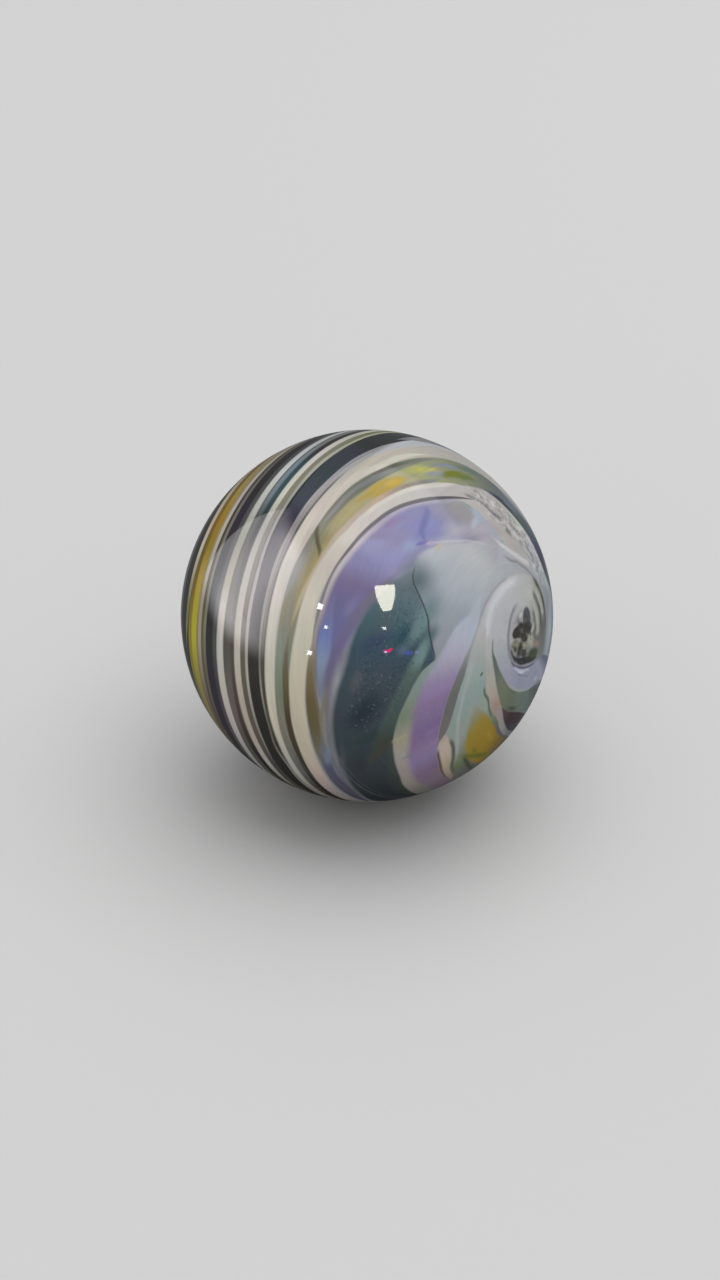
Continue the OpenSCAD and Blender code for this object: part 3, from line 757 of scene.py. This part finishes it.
def draw_eye(vortex):
    """The eye in the middle: a light rim, dark glass and cream flecks."""
    vortex.cloud(-3, 4.5, 6.6, 4.2, (138, 138, 139), 62, 0.8, 0.9)
    vortex.thread([(-1, -7.6), (-3.4, -6.2), (-5.4, -4), (-6.6, -1.8), (-7.2, 0.6), (-7.3, 3.2),
         (-6.9, 5.8), (-6, 8), (-4.6, 9.6), (-2.6, 10.4)], 1.1, (128, 127, 137), 1.5)
    for cloud in [
        (-2.3, 7.2, 1.6, 1, (186, 186, 186), 50, 0.7), (-4.6, 3.6, 1.6, 0.8, (158, 158, 156), 50, 0.9),
        (12.6, 4.6, 5.6, 2.6, (86, 88, 85), 96, 1, 0.9), (4.6, 0.4, 4.4, 2.8, (156, 156, 144), -38, 0.7),
        (9.2, -0.4, 3.4, 1.6, (138, 120, 108), -4, 0.8), (-0.6, -2.6, 6, 3, (108, 106, 96), 0, 0.6),
        (1.2, 7, 3.4, 2.5, (72, 73, 79), 104, 0.3), (0.4, 6.2, 2, 1.5, (64, 64, 68), 50, 0.4),
        (-3.4, -1.5, 2.8, 1.8, (130, 128, 110), 30, 0.6), (1.9, -1.5, 2.2, 1.5, (144, 143, 124), 20, 0.7),
        (1.4, -3.9, 4.8, 1.6, (72, 72, 68), -6, 0.6), (-0.5, -1.9, 2.4, 1, (58, 56, 45), 92, 0.6),
        (1.9, 4.2, 3.3, 2, (54, 54, 56), 4, 0.35), (-0.4, 2.7, 4.9, 2.8, (48, 46, 44), 12, 0.3),
        (-3.7, 1.6, 2.3, 1.9, (44, 42, 40), 44, 0.35), (0.8, 1, 2.9, 2, (52, 50, 44), 20, 0.5),
        (8, -3.6, 4.4, 2.3, (54, 68, 44), 10, 0.5),
    ]:
        vortex.cloud(*cloud)
    vortex.curl([(11.4, -4.2), (10, -5.4), (8, -6.2), (5, -6.9), (3, -7.4), (1, -7.5), (-1.5, -6.9),
         (-3.6, -5.5), (-5, -3.4)],
        [(9, -4.6), (6, -4.6), (3, -4.8), (1, -5.2), (-1.5, -5.4), (-3.2, -4.6)],
        [(10, -4.6, 46, 56, 40), (7, -5.4, 34, 44, 34), (4, -6, 30, 36, 38), (1, -6.4, 28, 30, 36),
         (-2, -5.8, 40, 42, 46), (-4, -4.6, 66, 66, 68)], (0.8, 0.9))
    for thread in [
        ([(12, -5.4), (10, -6.6), (7, -7.6), (4, -8.1), (1, -8.2), (-2, -7.6), (-4, -6.4)], 0.7,
         (84, 86, 106), 0.7),
        ([(9, -8.2), (6, -8.8), (3, -9.2), (0.6, -9), (-1.6, -8.4)], 0.7, (188, 190, 204), 0.8, 0.8),
    ]:
        vortex.thread(*thread)


def draw_lower_arms(vortex):
    """The arms under the eye, from the ones that go furthest out."""
    purple_right = [(66, -20), (55, -37), (33, -50), (20, -53.5), (10, -53), (5, -51.5), (0, -50),
                    (-6.5, -46.8), (-10, -44), (-14, -40.7), (-17, -36.8), (-19.3, -32.8), (-21, -29),
                    (-22.3, -25), (-23.2, -20), (-23.2, -14), (-22.3, -8), (-21, -2), (-20, 3), (-19.6, 8)]
    # grey-green glass under the amber, with its dark line
    vortex.curl([(75, -17), (55, -37), (33, -50), (20, -53.5), (10, -53), (5, -51.5), (0, -50),
         (-6.5, -46.8), (-10, -44), (-14, -40.7), (-17, -36.8), (-19.3, -32.8), (-20.4, -28), (-21, -20),
         (-20.8, -12), (-20.4, -4), (-19.4, 2), (-18.4, 5)],
        [(45, -30), (30, -30), (20, -30), (12, -29), (6, -27), (2, -24.5), (-3, -22), (-7, -19),
         (-10.5, -15.5), (-13, -11), (-14.6, -6), (-16, -1), (-17, 2)],
        [(45, -42, 60, 62, 60), (25, -47, 74, 76, 72), (8, -48, 93, 92, 89), (0, -44, 104, 118, 84),
         (-4, -39, 125, 133, 115), (-9, -33, 146, 155, 146), (-13, -26, 145, 158, 150),
         (-15, -20, 142, 159, 157), (-16.5, -14, 148, 164, 158), (-18, -8, 160, 167, 166),
         (-17.5, 0, 178, 176, 175), (-18, 4, 176, 178, 182)], (1, 0.8))
    for thread in [
        ([(30, -46.5), (22, -47.5), (15, -46.2), (8, -44.2), (2, -41.6), (-2, -39.5)], 1.6, (54, 62, 40),
         1.6, 0.9),
        ([(-1, -43.5), (-5, -40), (-9, -36), (-12.5, -31.8), (-15.5, -27.2), (-17.4, -22), (-18.5, -17),
          (-18.9, -12), (-18.8, -6)], 1.4, (164, 171, 169), 1.4, 0.9),
    ]:
        vortex.thread(*thread)
    vortex.cloud(-14.5, -11.8, 1, 0.6, (84, 92, 88), 70, 0.7)
    vortex.curl([(62, -32), (40, -42), (25, -44), (15, -43.5), (8, -42.5), (3, -41), (-1, -39), (-5, -36),
         (-8, -32), (-10, -28.5), (-11.5, -25), (-12.4, -21.5)],
        [(40, -33), (25, -33), (15, -32), (8, -30.5), (3, -28), (-2, -25.8), (-6, -23.8), (-9.5, -22.6)],
        [(45, -36, 58, 52, 42), (35, -38, 72, 62, 44), (22, -38, 92, 74, 45), (15, -37, 114, 93, 28),
         (9, -36, 138, 113, 10), (3, -34, 149, 121, 15), (-2, -31, 150, 125, 28), (-6, -29, 150, 130, 36),
         (-9, -26, 144, 137, 98), (-11.5, -23, 150, 152, 140)], (1.6, 2))
    for cloud in [
        (8, -39.5, 15, 1.9, (98, 102, 16), 3, 0.8), (2, -37.6, 4, 1.3, (110, 112, 18), -30, 0.9),
        (4, -31.5, 6, 1.5, (160, 132, 40), -24, 0.9, 0.7),
    ]:
        vortex.cloud(*cloud)
    vortex.curl([(12, -52.5), (8, -51.8), (2, -49.9), (-2, -48.2), (-6, -45.7), (-10, -42.7), (-14, -39.6),
         (-17, -36.2), (-19.2, -31.5)],
        [(6, -49.5), (1, -47.5), (-3, -45), (-7, -41), (-10, -38.2), (-13, -35.7), (-16, -33)],
        [(8, -51, 130, 115, 108), (0, -48, 158, 145, 130), (-6, -44, 176, 162, 138),
         (-10, -40.5, 192, 174, 158), (-14, -37, 192, 175, 162), (-18, -32.5, 166, 152, 142)], (0.7, 0.7))
    for thread in [
        ([(8, -52.5), (2, -50.7), (-3, -48.2), (-8, -45), (-12, -42), (-15.5, -38.6)], 1, (105, 72, 72),
         0.8),
        ([(6, -48.7), (1, -46.6), (-3, -43.8), (-7, -39.8), (-10, -37), (-14, -34)], 1.2, (88, 92, 80),
         0.8),
    ]:
        vortex.thread(*thread)
    vortex.curl([(-15.5, -38.7), (-17, -36.8), (-19.3, -32.8), (-21, -29), (-22.3, -25), (-23.2, -20),
         (-23.2, -14), (-22.3, -8), (-21, -2), (-20.2, 3)],
        [(-17, -31.5), (-18.3, -27), (-19.6, -22), (-20.4, -17), (-20.6, -12), (-20.8, -7), (-20.5, -1)],
        [(-18, -33, 112, 108, 104), (-20.5, -24, 106, 104, 104), (-21.8, -18, 106, 109, 105),
         (-22, -12, 118, 118, 122), (-21.5, -6, 150, 150, 149), (-20.5, 0, 166, 166, 168)], (0.7, 0.7))
    # cream arm, maroon wedge and green arm
    vortex.curl([(58, -33), (45, -37), (28, -33.5), (20, -31.8), (12, -30.5), (6, -28), (2, -25.5),
         (-3, -23), (-7, -20), (-10, -17), (-12.5, -12.5), (-14.2, -8.5), (-15.3, -5), (-15.6, 0)],
        [(28, -31), (20, -30), (14, -28.8), (10, -27.2), (6, -25), (3, -22.8), (0, -20.7), (-4, -17.5),
         (-7, -14.5), (-9.5, -11), (-11.3, -8), (-13, -4.5)],
        [(25, -32, 95, 95, 98), (15, -29.5, 112, 112, 114), (8, -27, 140, 140, 140),
         (2, -23.5, 153, 142, 144), (-3, -20.5, 158, 140, 128), (-7, -17.5, 172, 162, 152),
         (-10, -14, 171, 168, 158), (-12, -10, 163, 164, 160), (-14, -5, 176, 176, 176)])
    vortex.cloud(-2, -20, 2.6, 1, (166, 136, 114), 38, 0.7)
    vortex.thread([(-1, -25.4), (-3, -24), (-5.5, -21.9), (-8, -19.1), (-10.3, -17.6), (-12, -15)], 0.9,
        (96, 104, 92), 0.7)
    vortex.curl([(60, -20), (28, -25), (22, -23), (16, -22.3), (10, -22.3), (4, -22.3), (0, -20.7),
         (-4, -17.5), (-7, -14.5), (-9.5, -11), (-11.3, -8), (-13, -4.5), (-13.4, -1)],
        [(28, -12.3), (22, -13), (16, -14), (10, -15.6), (5, -15.7), (1, -15), (-2.5, -13.3), (-6, -11),
         (-9.5, -8), (-12.4, -4.6)],
        [(30, -18, 66, 72, 72), (22, -18, 80, 88, 86), (16, -19, 92, 108, 104), (12, -19, 96, 110, 102),
         (8, -18, 96, 112, 100), (3, -18.5, 98, 106, 88), (-2, -16.5, 106, 116, 92),
         (-6, -13.5, 108, 116, 100), (-9, -10, 92, 102, 98), (-12, -6.5, 86, 96, 92)])
    for cloud in [
        (7, -21.2, 5, 1.2, (62, 70, 54), 0, 0.9), (23, -13.8, 8, 1.6, (73, 84, 93), 2, 0.9),
    ]:
        vortex.cloud(*cloud)
    vortex.curl([(55, -26), (30, -31), (22, -30), (16, -29.3), (11, -28), (7, -26), (3, -23.3),
         (0.6, -21.2)], [(30, -24.5), (22, -23), (16, -22.5), (10, -22.3), (5, -22.2), (2, -21.6)],
        [(28, -27, 48, 36, 44), (20, -25.5, 44, 26, 36), (14, -25, 48, 26, 38), (9, -24.5, 44, 24, 32),
         (4, -23, 72, 50, 50)], (0.9, 1))
    vortex.cloud(16, -27.8, 6, 1.4, (44, 50, 62), -8, 0.9)
    # the lavender arm that closes the ring below
    vortex.curl([(60, -4.5), (32, -11), (26, -11.5), (20, -12), (14, -14.2), (8, -15.4), (4, -15.5),
         (1, -14.8), (-2.5, -13), (-6, -10.7), (-9.5, -7.7), (-11.6, -4.5), (-10.5, -1)],
        [(32, -4), (24, -3.8), (17, -3.5), (11.5, -5.8), (8, -7.2), (4, -8), (1, -7.9), (-2, -6.6),
         (-4.5, -4.8), (-6.3, -2.8), (-8, -1.8)],
        [(32, -7.5, 92, 98, 118), (24, -8, 122, 126, 144), (18, -8, 146, 150, 168),
         (13, -8.5, 140, 144, 164), (8, -10.5, 142, 148, 166), (4, -11, 140, 146, 162),
         (-1, -10, 150, 152, 172), (-5, -8, 158, 160, 172), (-8, -5, 160, 166, 172),
         (-10, -2, 168, 170, 176)], (2.4, 0.8))
    vortex.thread([(16, -13), (14, -14), (10, -15), (5, -15.2), (1, -14.4), (-2, -12.9)], 0.7,
        (154, 160, 156), 0.7, 0.9)
    for cloud in [
        (16, -11.2, 3, 1.1, (164, 166, 178), 4, 0.8, 0.8), (3.2, -9.5, 2.8, 0.7, (188, 193, 212), -2, 0.7),
    ]:
        vortex.cloud(*cloud)
    vortex.thread([(9.5, -10.3), (7, -10.5), (4, -10.6), (2, -10.3)], 0.5, (118, 123, 150), 0.6, 0.9)
    # the purple rod with its green and cream edge
    for curl in [
        ([(75, -17), (57.9, -39), (38.7, -53.7), (22, -60), (10, -63.5), (0, -62), (-5, -60.5),
          (-10, -58.5), (-15, -55.5), (-20, -52), (-25, -47.8), (-30, -42.2), (-33, -37), (-34.8, -32),
          (-35.5, -26), (-35.5, -20), (-34.8, -15.5), (-33, -12), (-31, -9), (-28, -1), (-26, 2), (-23, 5),
          (-19.5, 11)], purple_right,
         [(45, -45, 74, 70, 70), (20, -58, 94, 90, 88), (0, -60, 118, 114, 108), (-12, -56, 150, 142, 134),
          (-22, -48, 163, 153, 151), (-26, -44, 165, 160, 150), (-30, -40, 161, 158, 136),
          (-31, -36, 150, 150, 134), (-34, -31, 119, 137, 116), (-34, -27, 128, 140, 124),
          (-34, -22, 133, 146, 139), (-33, -15, 132, 151, 144), (-31, -9, 150, 160, 164),
          (-26, 0, 172, 178, 190), (-22, 6, 168, 174, 183)], (0.8, 1)),
        ([(75, -17), (56, -38), (36, -52), (20, -57.5), (8, -58.5), (0, -57), (-10, -54), (-17, -49.5),
          (-22.5, -44.6), (-25.5, -40), (-28.5, -35), (-30.5, -30), (-32, -25), (-32.5, -20), (-32.2, -15),
          (-30.6, -10), (-28.2, -3), (-26, 2), (-23, 5), (-19.5, 11)], purple_right,
         [(45, -43, 72, 62, 70), (20, -56, 92, 80, 88), (8, -55, 104, 90, 104), (-2, -52.5, 120, 106, 122),
          (-10, -48, 124, 102, 130), (-17, -43, 136, 121, 161), (-19, -39, 142, 120, 160),
          (-22, -36, 132, 110, 150), (-25, -32, 127, 105, 148), (-26, -28, 133, 114, 152),
          (-28, -24, 139, 116, 154), (-27, -20, 148, 126, 167), (-27, -16, 150, 134, 170),
          (-27, -12, 160, 154, 177), (-26, -8, 171, 167, 187), (-25, -3, 174, 178, 192),
          (-23, 1, 172, 178, 193), (-21, 6, 167, 174, 183)], (0.8, 3.2)),
    ]:
        vortex.curl(*curl)
    for cloud in [
        (-18, -36.5, 3.4, 1.8, (148, 122, 158), 60, 1, 0.8),
        (-22, -33, 3.4, 1.4, (138, 117, 162), 62, 1, 0.8),
        (-22.4, -44.2, 3.6, 1.2, (124, 127, 150), 48, 1, 0.7),
        (-32, -28, 3.6, 1, (150, 130, 145), 84, 1, 0.6),
        (-30.6, -38.6, 4.4, 1.3, (166, 163, 138), 56, 0.8, 0.8),
    ]:
        vortex.cloud(*cloud)
    # teal glass outside it
    for cloud in [
        (-49, -1, 7, 4, (80, 92, 96), 80, 1, 0.8), (-42, -4, 6, 3.6, (30, 70, 84), 80, 1, 0.8),
        (-42, -9, 3, 2.6, (90, 110, 134), 60, 1, 0.7), (-46, -19, 7, 4, (68, 78, 88), 84, 1, 0.7),
        (-45.5, -33, 11, 5.5, (23, 43, 53), 80, 1, 0.85), (-38.5, -41, 7, 3.6, (31, 54, 54), 60, 1, 0.8),
    ]:
        vortex.cloud(*cloud)
    vortex.curl([(-31, -52), (-35.5, -44), (-38.6, -36), (-39.5, -28), (-39.5, -20), (-38.5, -12),
         (-35.5, -5)], [(-31.4, -41), (-34.4, -34), (-35.8, -27), (-35.8, -20), (-35, -14)],
        [(-36, -44, 58, 62, 52), (-38, -34, 66, 84, 80), (-38, -24, 74, 92, 90), (-37, -14, 88, 108, 100),
         (-36, -8, 104, 128, 128)], (1, 2.6), 0.9)
    for cloud in [
        (-38.2, 0, 11, 3, (104, 130, 132), 70, 0.8, 0.9), (-36.2, -9, 7.5, 2.6, (108, 136, 135), 82, 0.8),
    ]:
        vortex.cloud(*cloud)
    vortex.thread([(-31.5, -11.5), (-32.2, -9), (-33.7, -6), (-35.6, -1), (-36.2, 1.5), (-38.2, 6),
         (-40.2, 10), (-41.4, 13), (-41.1, 17), (-40.4, 19)], 0.45, (44, 54, 58), 0.5, 0.9)


def draw_bubbly_arm(stripes, vortex):
    """The white arm that runs from the upper ivory over the ring, and the dark glass beyond it."""
    stripes.rod([(-78, 37.5, 37), (-85, 38.6, 41), (-90, 39.6, 44), (-100, 43.6, 49), (-110, 48, 54),
         (-120, 50.3, 57), (-130, 51, 58), (-145, 53, 57.5), (-170, 55, 57), (-180, 56, 55)],
        [(-84, 100, 100, 104), (-90, 50, 55, 75), (-94, 40, 45, 62), (-99, 50, 62, 68), (-104, 70, 80, 60),
         (-110, 60, 68, 76), (-116, 60, 62, 90), (-122, 70, 58, 75), (-130, 60, 58, 75),
         (-150, 70, 76, 90)], (1.6, 1.2))
    for cloud in [
        (14, 46, 10, 5, (128, 128, 136), -50), (8, 43.5, 8, 4, (88, 97, 108), -48, 0.9),
        (14, 37.5, 8, 4.5, (64, 80, 84), -55, 0.9), (23, 37, 9, 3.5, (106, 106, 108), -62),
        (20, 28.5, 9, 5, (40, 46, 70), -62, 0.9), (23.5, 20.5, 6, 3.6, (78, 86, 98), -75, 1, 0.9),
        (22.5, 14.5, 4.5, 3, (146, 152, 158), -80, 1, 0.9),
    ]:
        vortex.cloud(*cloud)
    lay_ivory(stripes)
    vortex.cloud(-6, 45, 7, 3.6, (160, 158, 152), -30, 1, 0.8)
    vortex.thread([(-17, 44.4), (-14, 44), (-11, 42.4), (-8, 39.6), (-5.6, 36.6), (-3, 33.6), (-1, 31)],
        1.6, (108, 110, 110), 1.6, 0.9)
    for cloud in [
        (-5.4, 38.2, 3.4, 1.6, (92, 94, 96), -40, 0.9, 0.9),
        (-3, 33.2, 3.4, 1.4, (112, 112, 110), -50, 0.9, 0.8),
        (-8.6, 41.6, 2.2, 1.4, (104, 104, 104), -40, 0.9, 0.8),
        (4, 36.5, 5, 2.2, (157, 170, 159), -50, 1, 0.9),
        (9.6, 28.4, 4.5, 2.6, (166, 166, 184), -52, 1, 0.9),
        (-9, 33.5, 4.5, 2.6, (158, 148, 152), -40, 1, 0.7),
    ]:
        vortex.cloud(*cloud)
    for thread in [
        ([(-12.5, 30), (-10, 28.6), (-6, 26.6), (-2, 25.2), (2, 23.9), (6, 23)], 1.8, (190, 189, 191), 1.6,
         0.95),
        ([(-9.5, 24.4), (-5, 23.2), (-2, 22.9), (0, 22.2), (2, 21.6), (5, 20), (7, 18.6)], 0.9,
         (126, 126, 128), 1.1, 0.9),
        ([(2, 41.5), (6, 37.4), (9.2, 33.4), (12, 29.2), (14.6, 25), (17.4, 21.2)], 1.6, (184, 186, 188),
         1.6, 0.7),
    ]:
        vortex.thread(*thread)
    # painted highlight: a greenish-white spot where the white arm ends
    vortex.cloud(18, 19.2, 3.4, 1.8, (162, 176, 172), -40, 0.9, 0.9)


def fleck(glass, vortex):
    """Flecks, bubbles and fine mottle where the glass is not clear, with painted glints over the dark
    window: light specks, and spots of colour.
    """
    coarse = glass.noise(glass.place, 26 / RADIUS, 3.0, 0.6)
    fine = glass.noise(glass.place, 70 / RADIUS, 2.0, 0.6)
    light, dark = glass.ramp(coarse, 0.52, 0.66), glass.ramp(coarse, 0.5, 0.36)
    glint_specks, pits = glass.ramp(fine, 0.62, 0.72), glass.ramp(fine, 0.42, 0.32)
    for across, along, long, wide, turn in [(-4, 39.5, 15, 6.5, -46), (9, 28, 15, 6.5, -56)]:
        vortex.cloud(across, along, long, wide, (104, 106, 106), turn, 0.5, dark * 0.6)
        vortex.cloud(across, along, long, wide, (196, 196, 196), turn, 0.5, light * 0.6)
    vortex.cloud(0.5, 0.5, 10.5, 7.0, (30, 32, 34), 78, 0.5, dark * 0.75)
    vortex.cloud(0.5, -1.0, 9.0, 6.5, (140, 138, 128), 78, 0.6, light * 0.5)
    # painted glints: light specks over the teal window stand for the light that its bubbles catch; the dark
    # pits laid next are the glass's own
    vortex.cloud(-44, -16, 34, 10, (116, 130, 134), 86, 0.4, glint_specks * 0.6)
    vortex.cloud(-44, -16, 34, 10, (20, 28, 32), 86, 0.4, pits * 0.4)
    # painted glints: bright spots of magenta, red, pale pink, blue and white laid into the base colour of
    # the dark window
    for glint in [
        (-46.3, -10.2, 1.5, 0.7, (224, 40, 150), 20, 0.6), (-45.4, -9.4, 0.8, 0.6, (230, 40, 70), 30, 0.6),
        (-46.6, -10.6, 0.6, 0.4, (236, 214, 244), 20, 0.6), (-40, -9.6, 1.6, 1, (76, 88, 190), 20, 0.9, 0.9),
        (-37.6, -8.8, 0.9, 0.7, (140, 140, 200), 20, 0.9, 0.8), (-49, -3, 0.6, 0.5, (190, 200, 204), 0, 0.8),
    ]:
        vortex.cloud(*glint)


def draw_out(glass, stripes, vortex):
    """Fine streaks, drawn out along the stripes and into the vortex."""
    turns = [(10, 0), (13, 18), (14, 45), (16.8, 73), (21, 90), (25, 106), (31, 121), (36, 135), (40, 145),
             (45, 165), (58, 185)]
    most = turns[-1][1]
    twist = glass.curve(vortex.level, [(reach / VORTEX_SPAN, turn / most) for reach, turn in turns])
    streaks = []
    for chart, angle, around, outwards in [
        (stripes, stripes.angle, 2.4, 1.1), (vortex, vortex.angle - twist * most, 5.0, 0.9)
    ]:
        turn = angle * (math.pi / 180)
        across, along = (glass.math(way, turn) * around for way in ("COSINE", "SINE"))
        grain = glass.noise(glass.flat_place(across, along, chart.height * outwards), 1.0, 3.0, 0.6)
        streaks.append(grain * 0.34 + grain.also("Color") * 0.22)
    drawn = glass.mix(streaks[0], streaks[1] * 0.5 + 0.14, glass.ramp(stripes.height, 14, 26))
    glass.colour = glass.colour * (drawn + 0.72)


def swirl_glass():
    glass = SwirlGlass("swirl glass")
    stripes = Stripes(glass)
    wind_stripes(stripes)
    draw_grounds(stripes)
    fill_windows(stripes)
    vortex = Vortex(glass)
    mist_the_vortex(vortex)
    draw_bubbly_arm(stripes, vortex)
    draw_ring(vortex)
    draw_lower_arms(vortex)
    draw_eye(vortex)
    fleck(glass, vortex)
    draw_out(glass, stripes, vortex)
    facing = glass.node("ShaderNodeLayerWeight", {}, {"Blend": 0.5}, "Facing")
    coat = COAT_FACE - glass.ramp(facing, LOSS_FROM, LOSS_TO, COAT_LOSS)
    return glass.finish(glass.colour, GLASS_ROUGHNESS, **{"Coat Weight": coat}, **COAT)


def to_object(shape, name, material):
    """A finished bmesh as an object at the origin."""
    mesh = bpy.data.meshes.new(name)
    shape.to_mesh(mesh)
    shape.free()
    mesh.materials.append(material)
    piece = bpy.data.objects.new(name, mesh)
    bpy.context.scene.collection.objects.link(piece)
    return piece


def build_ball():
    shape = bmesh.new()
    bmesh.ops.create_icosphere(shape, subdivisions=ROUNDNESS, radius=RADIUS)
    bmesh.ops.recalc_face_normals(shape, faces=shape.faces)
    ball = to_object(shape, "swirl_ball", swirl_glass())
    ball.data.polygons.foreach_set("use_smooth", [True] * len(ball.data.polygons))
    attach(ball, "root")
    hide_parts("marble")


# ---------------------------------------------------------------- studio
def toward(azimuth, rise, distance=1.0):
    """A point seen from the ball's centre at an azimuth, counted from the front to the right, and a rise."""
    a, e = math.radians(azimuth), math.radians(rise)
    return Vector((math.sin(a) * math.cos(e), -math.cos(a) * math.cos(e), math.sin(e))) * distance


def lamp(name, place, size, radiance, colour=(1, 1, 1), feather=None, across=None, profile=None, turn=None,
         lights=True):
    """A softbox, turned to the ball unless a turn is given. Feather is the share of it that fades at its
    left, right, bottom and top edges, and across its glow from left to right. A profile gives a lamp with
    sharp edges its half-width at heights from bottom to top. One that doesn't light only shows in gloss."""
    width, height = size
    light = bpy.data.lights.new(name, "AREA")
    light.shape, light.size, light.size_y = "RECTANGLE", width, height
    light.energy, light.color = radiance * math.pi * width * height, colour
    if feather or profile:
        r = Recipe(light)
        face = r.node("ShaderNodeNewGeometry", {}, {}, "Parametric")
        side = r.node("ShaderNodeSeparateXYZ", {}, {0: face})
        rise = side.also(1)
        if feather:
            left, right, bottom, top = feather
            glow = r.ramp(side, 0, left) * r.ramp(side, 1, 1 - right)
            glow = glow * r.ramp(rise, 0, bottom) * r.ramp(rise, 1, 1 - top)
            if across:
                glow = glow * r.curve(side, across)
        else:
            glow = r.ramp(r.curve(rise, profile) - r.math("ABSOLUTE", side - 0.5), -0.01, 0.01)
        shine = r.node("ShaderNodeEmission", {}, {"Strength": glow})
        r.node("ShaderNodeOutputLight", {}, {"Surface": shine})
    holder = bpy.data.objects.new(name, light)
    holder.location = place
    holder.rotation_euler = turn or (-place).to_track_quat("-Z", "Y").to_euler()
    holder.visible_camera = False
    holder.visible_diffuse = lights
    bpy.context.scene.collection.objects.link(holder)
    return holder


def build_studio():
    shape = bmesh.new()
    bmesh.ops.create_grid(shape, x_segments=1, y_segments=1, size=FLOOR_REACH)
    bmesh.ops.translate(shape, verts=shape.verts, vec=(0, 0, low_corner[2]))
    paper = Recipe(bpy.data.materials.new("studio paper"))
    sheen = {"Specular IOR Level": 0.1}
    floor = to_object(shape, "studio_floor", paper.finish(tint(*FLOOR_SHADE), FLOOR_ROUGHNESS, **sheen))

    world = bpy.data.worlds.new("studio air")
    bpy.context.scene.world = world
    world.use_nodes = True
    background = world.node_tree.nodes["Background"]
    background.inputs["Color"].default_value = (AIR, AIR, AIR, 1.0)
    background.inputs["Strength"].default_value = 1.0

    lamp("overhead_softbox", Vector((0.2, 0.35, 1.1)), (1.9, 1.6), 1.5, feather=(0.15, 0.15, 0.12, 0.15),
         turn=(0, 0, 0))
    lamp("ceiling_glow", Vector((0.2, 0.35, 1.09)), (1.9, 1.6), 1.2, feather=(0.15, 0.45, 0.16, 0.15),
         turn=(0, 0, 0), lights=False)
    # it stands close to the ball, so that its lower edge shows in the stripes
    lamp("side_softbox", toward(SIDE_AZIMUTH, 0, SIDE_DISTANCE) + Vector((0, 0, SIDE_HEIGHT)),
         (0.153, 0.167), 10.2, (1.0, 0.97, 1.0), feather=(0.02, 0.1, 0.14, 0.3),
         across=[(0, 0.3), (0.1, 0.38), (0.2, 0.46), (0.28, 0.6), (0.35, 0.76), (0.45, 0.9), (0.55, 0.98),
                 (0.65, 0.8), (0.75, 0.52), (0.85, 0.22), (1, 0)],
         turn=(math.radians(90), 0, math.radians(SIDE_AZIMUTH)), lights=False)
    shield = lamp("shield_lamp", toward(53.5, 41.2, SMALL_LAMP_DISTANCE), (0.0725, 0.092), 30,
                  (1.0, 0.97, 0.8), lights=False,
                  profile=[(0, 0.18), (0.06, 0.24), (0.3, 0.36), (0.6, 0.46), (0.9, 0.5), (1, 0.49)])
    shield.rotation_euler.rotate_axis("Z", math.radians(SHIELD_TURN))
    for azimuth, rise, size, radiance in [
        (5.8, 32.7, 0.02, 40), (13.1, 22.4, 0.012, 36), (5.8, 5.7, 0.016, 32), (50.3, 23.9, 0.009, 28)
    ]:
        lamp("spark_lamp", toward(azimuth, rise, SMALL_LAMP_DISTANCE), (size, size), radiance, lights=False)


def build_camera():
    """The camera, aimed a little left of and under the ball's centre."""
    data = bpy.data.cameras.new("studio_camera")
    data.lens, data.sensor_width = LENS, SENSOR
    data.clip_start = 0.01
    camera = bpy.data.objects.new("studio_camera", data)
    heading = toward(*CAMERA_HEADING)
    right = Vector((0, 0, 1)).cross(heading).normalized()
    up = heading.cross(right).normalized()
    camera.location = heading * CAMERA_DISTANCE
    aim = (-right * (BALL_RIGHT / LENS_PIXELS * CAMERA_DISTANCE)
           - up * (BALL_UP / LENS_PIXELS * CAMERA_DISTANCE))
    camera.rotation_euler = (aim - camera.location).to_track_quat("-Z", "Y").to_euler()
    bpy.context.scene.collection.objects.link(camera)
    bpy.context.scene.camera = camera


bpy.context.scene.view_settings.view_transform = "Standard"
build_ball()
build_studio()
build_camera()
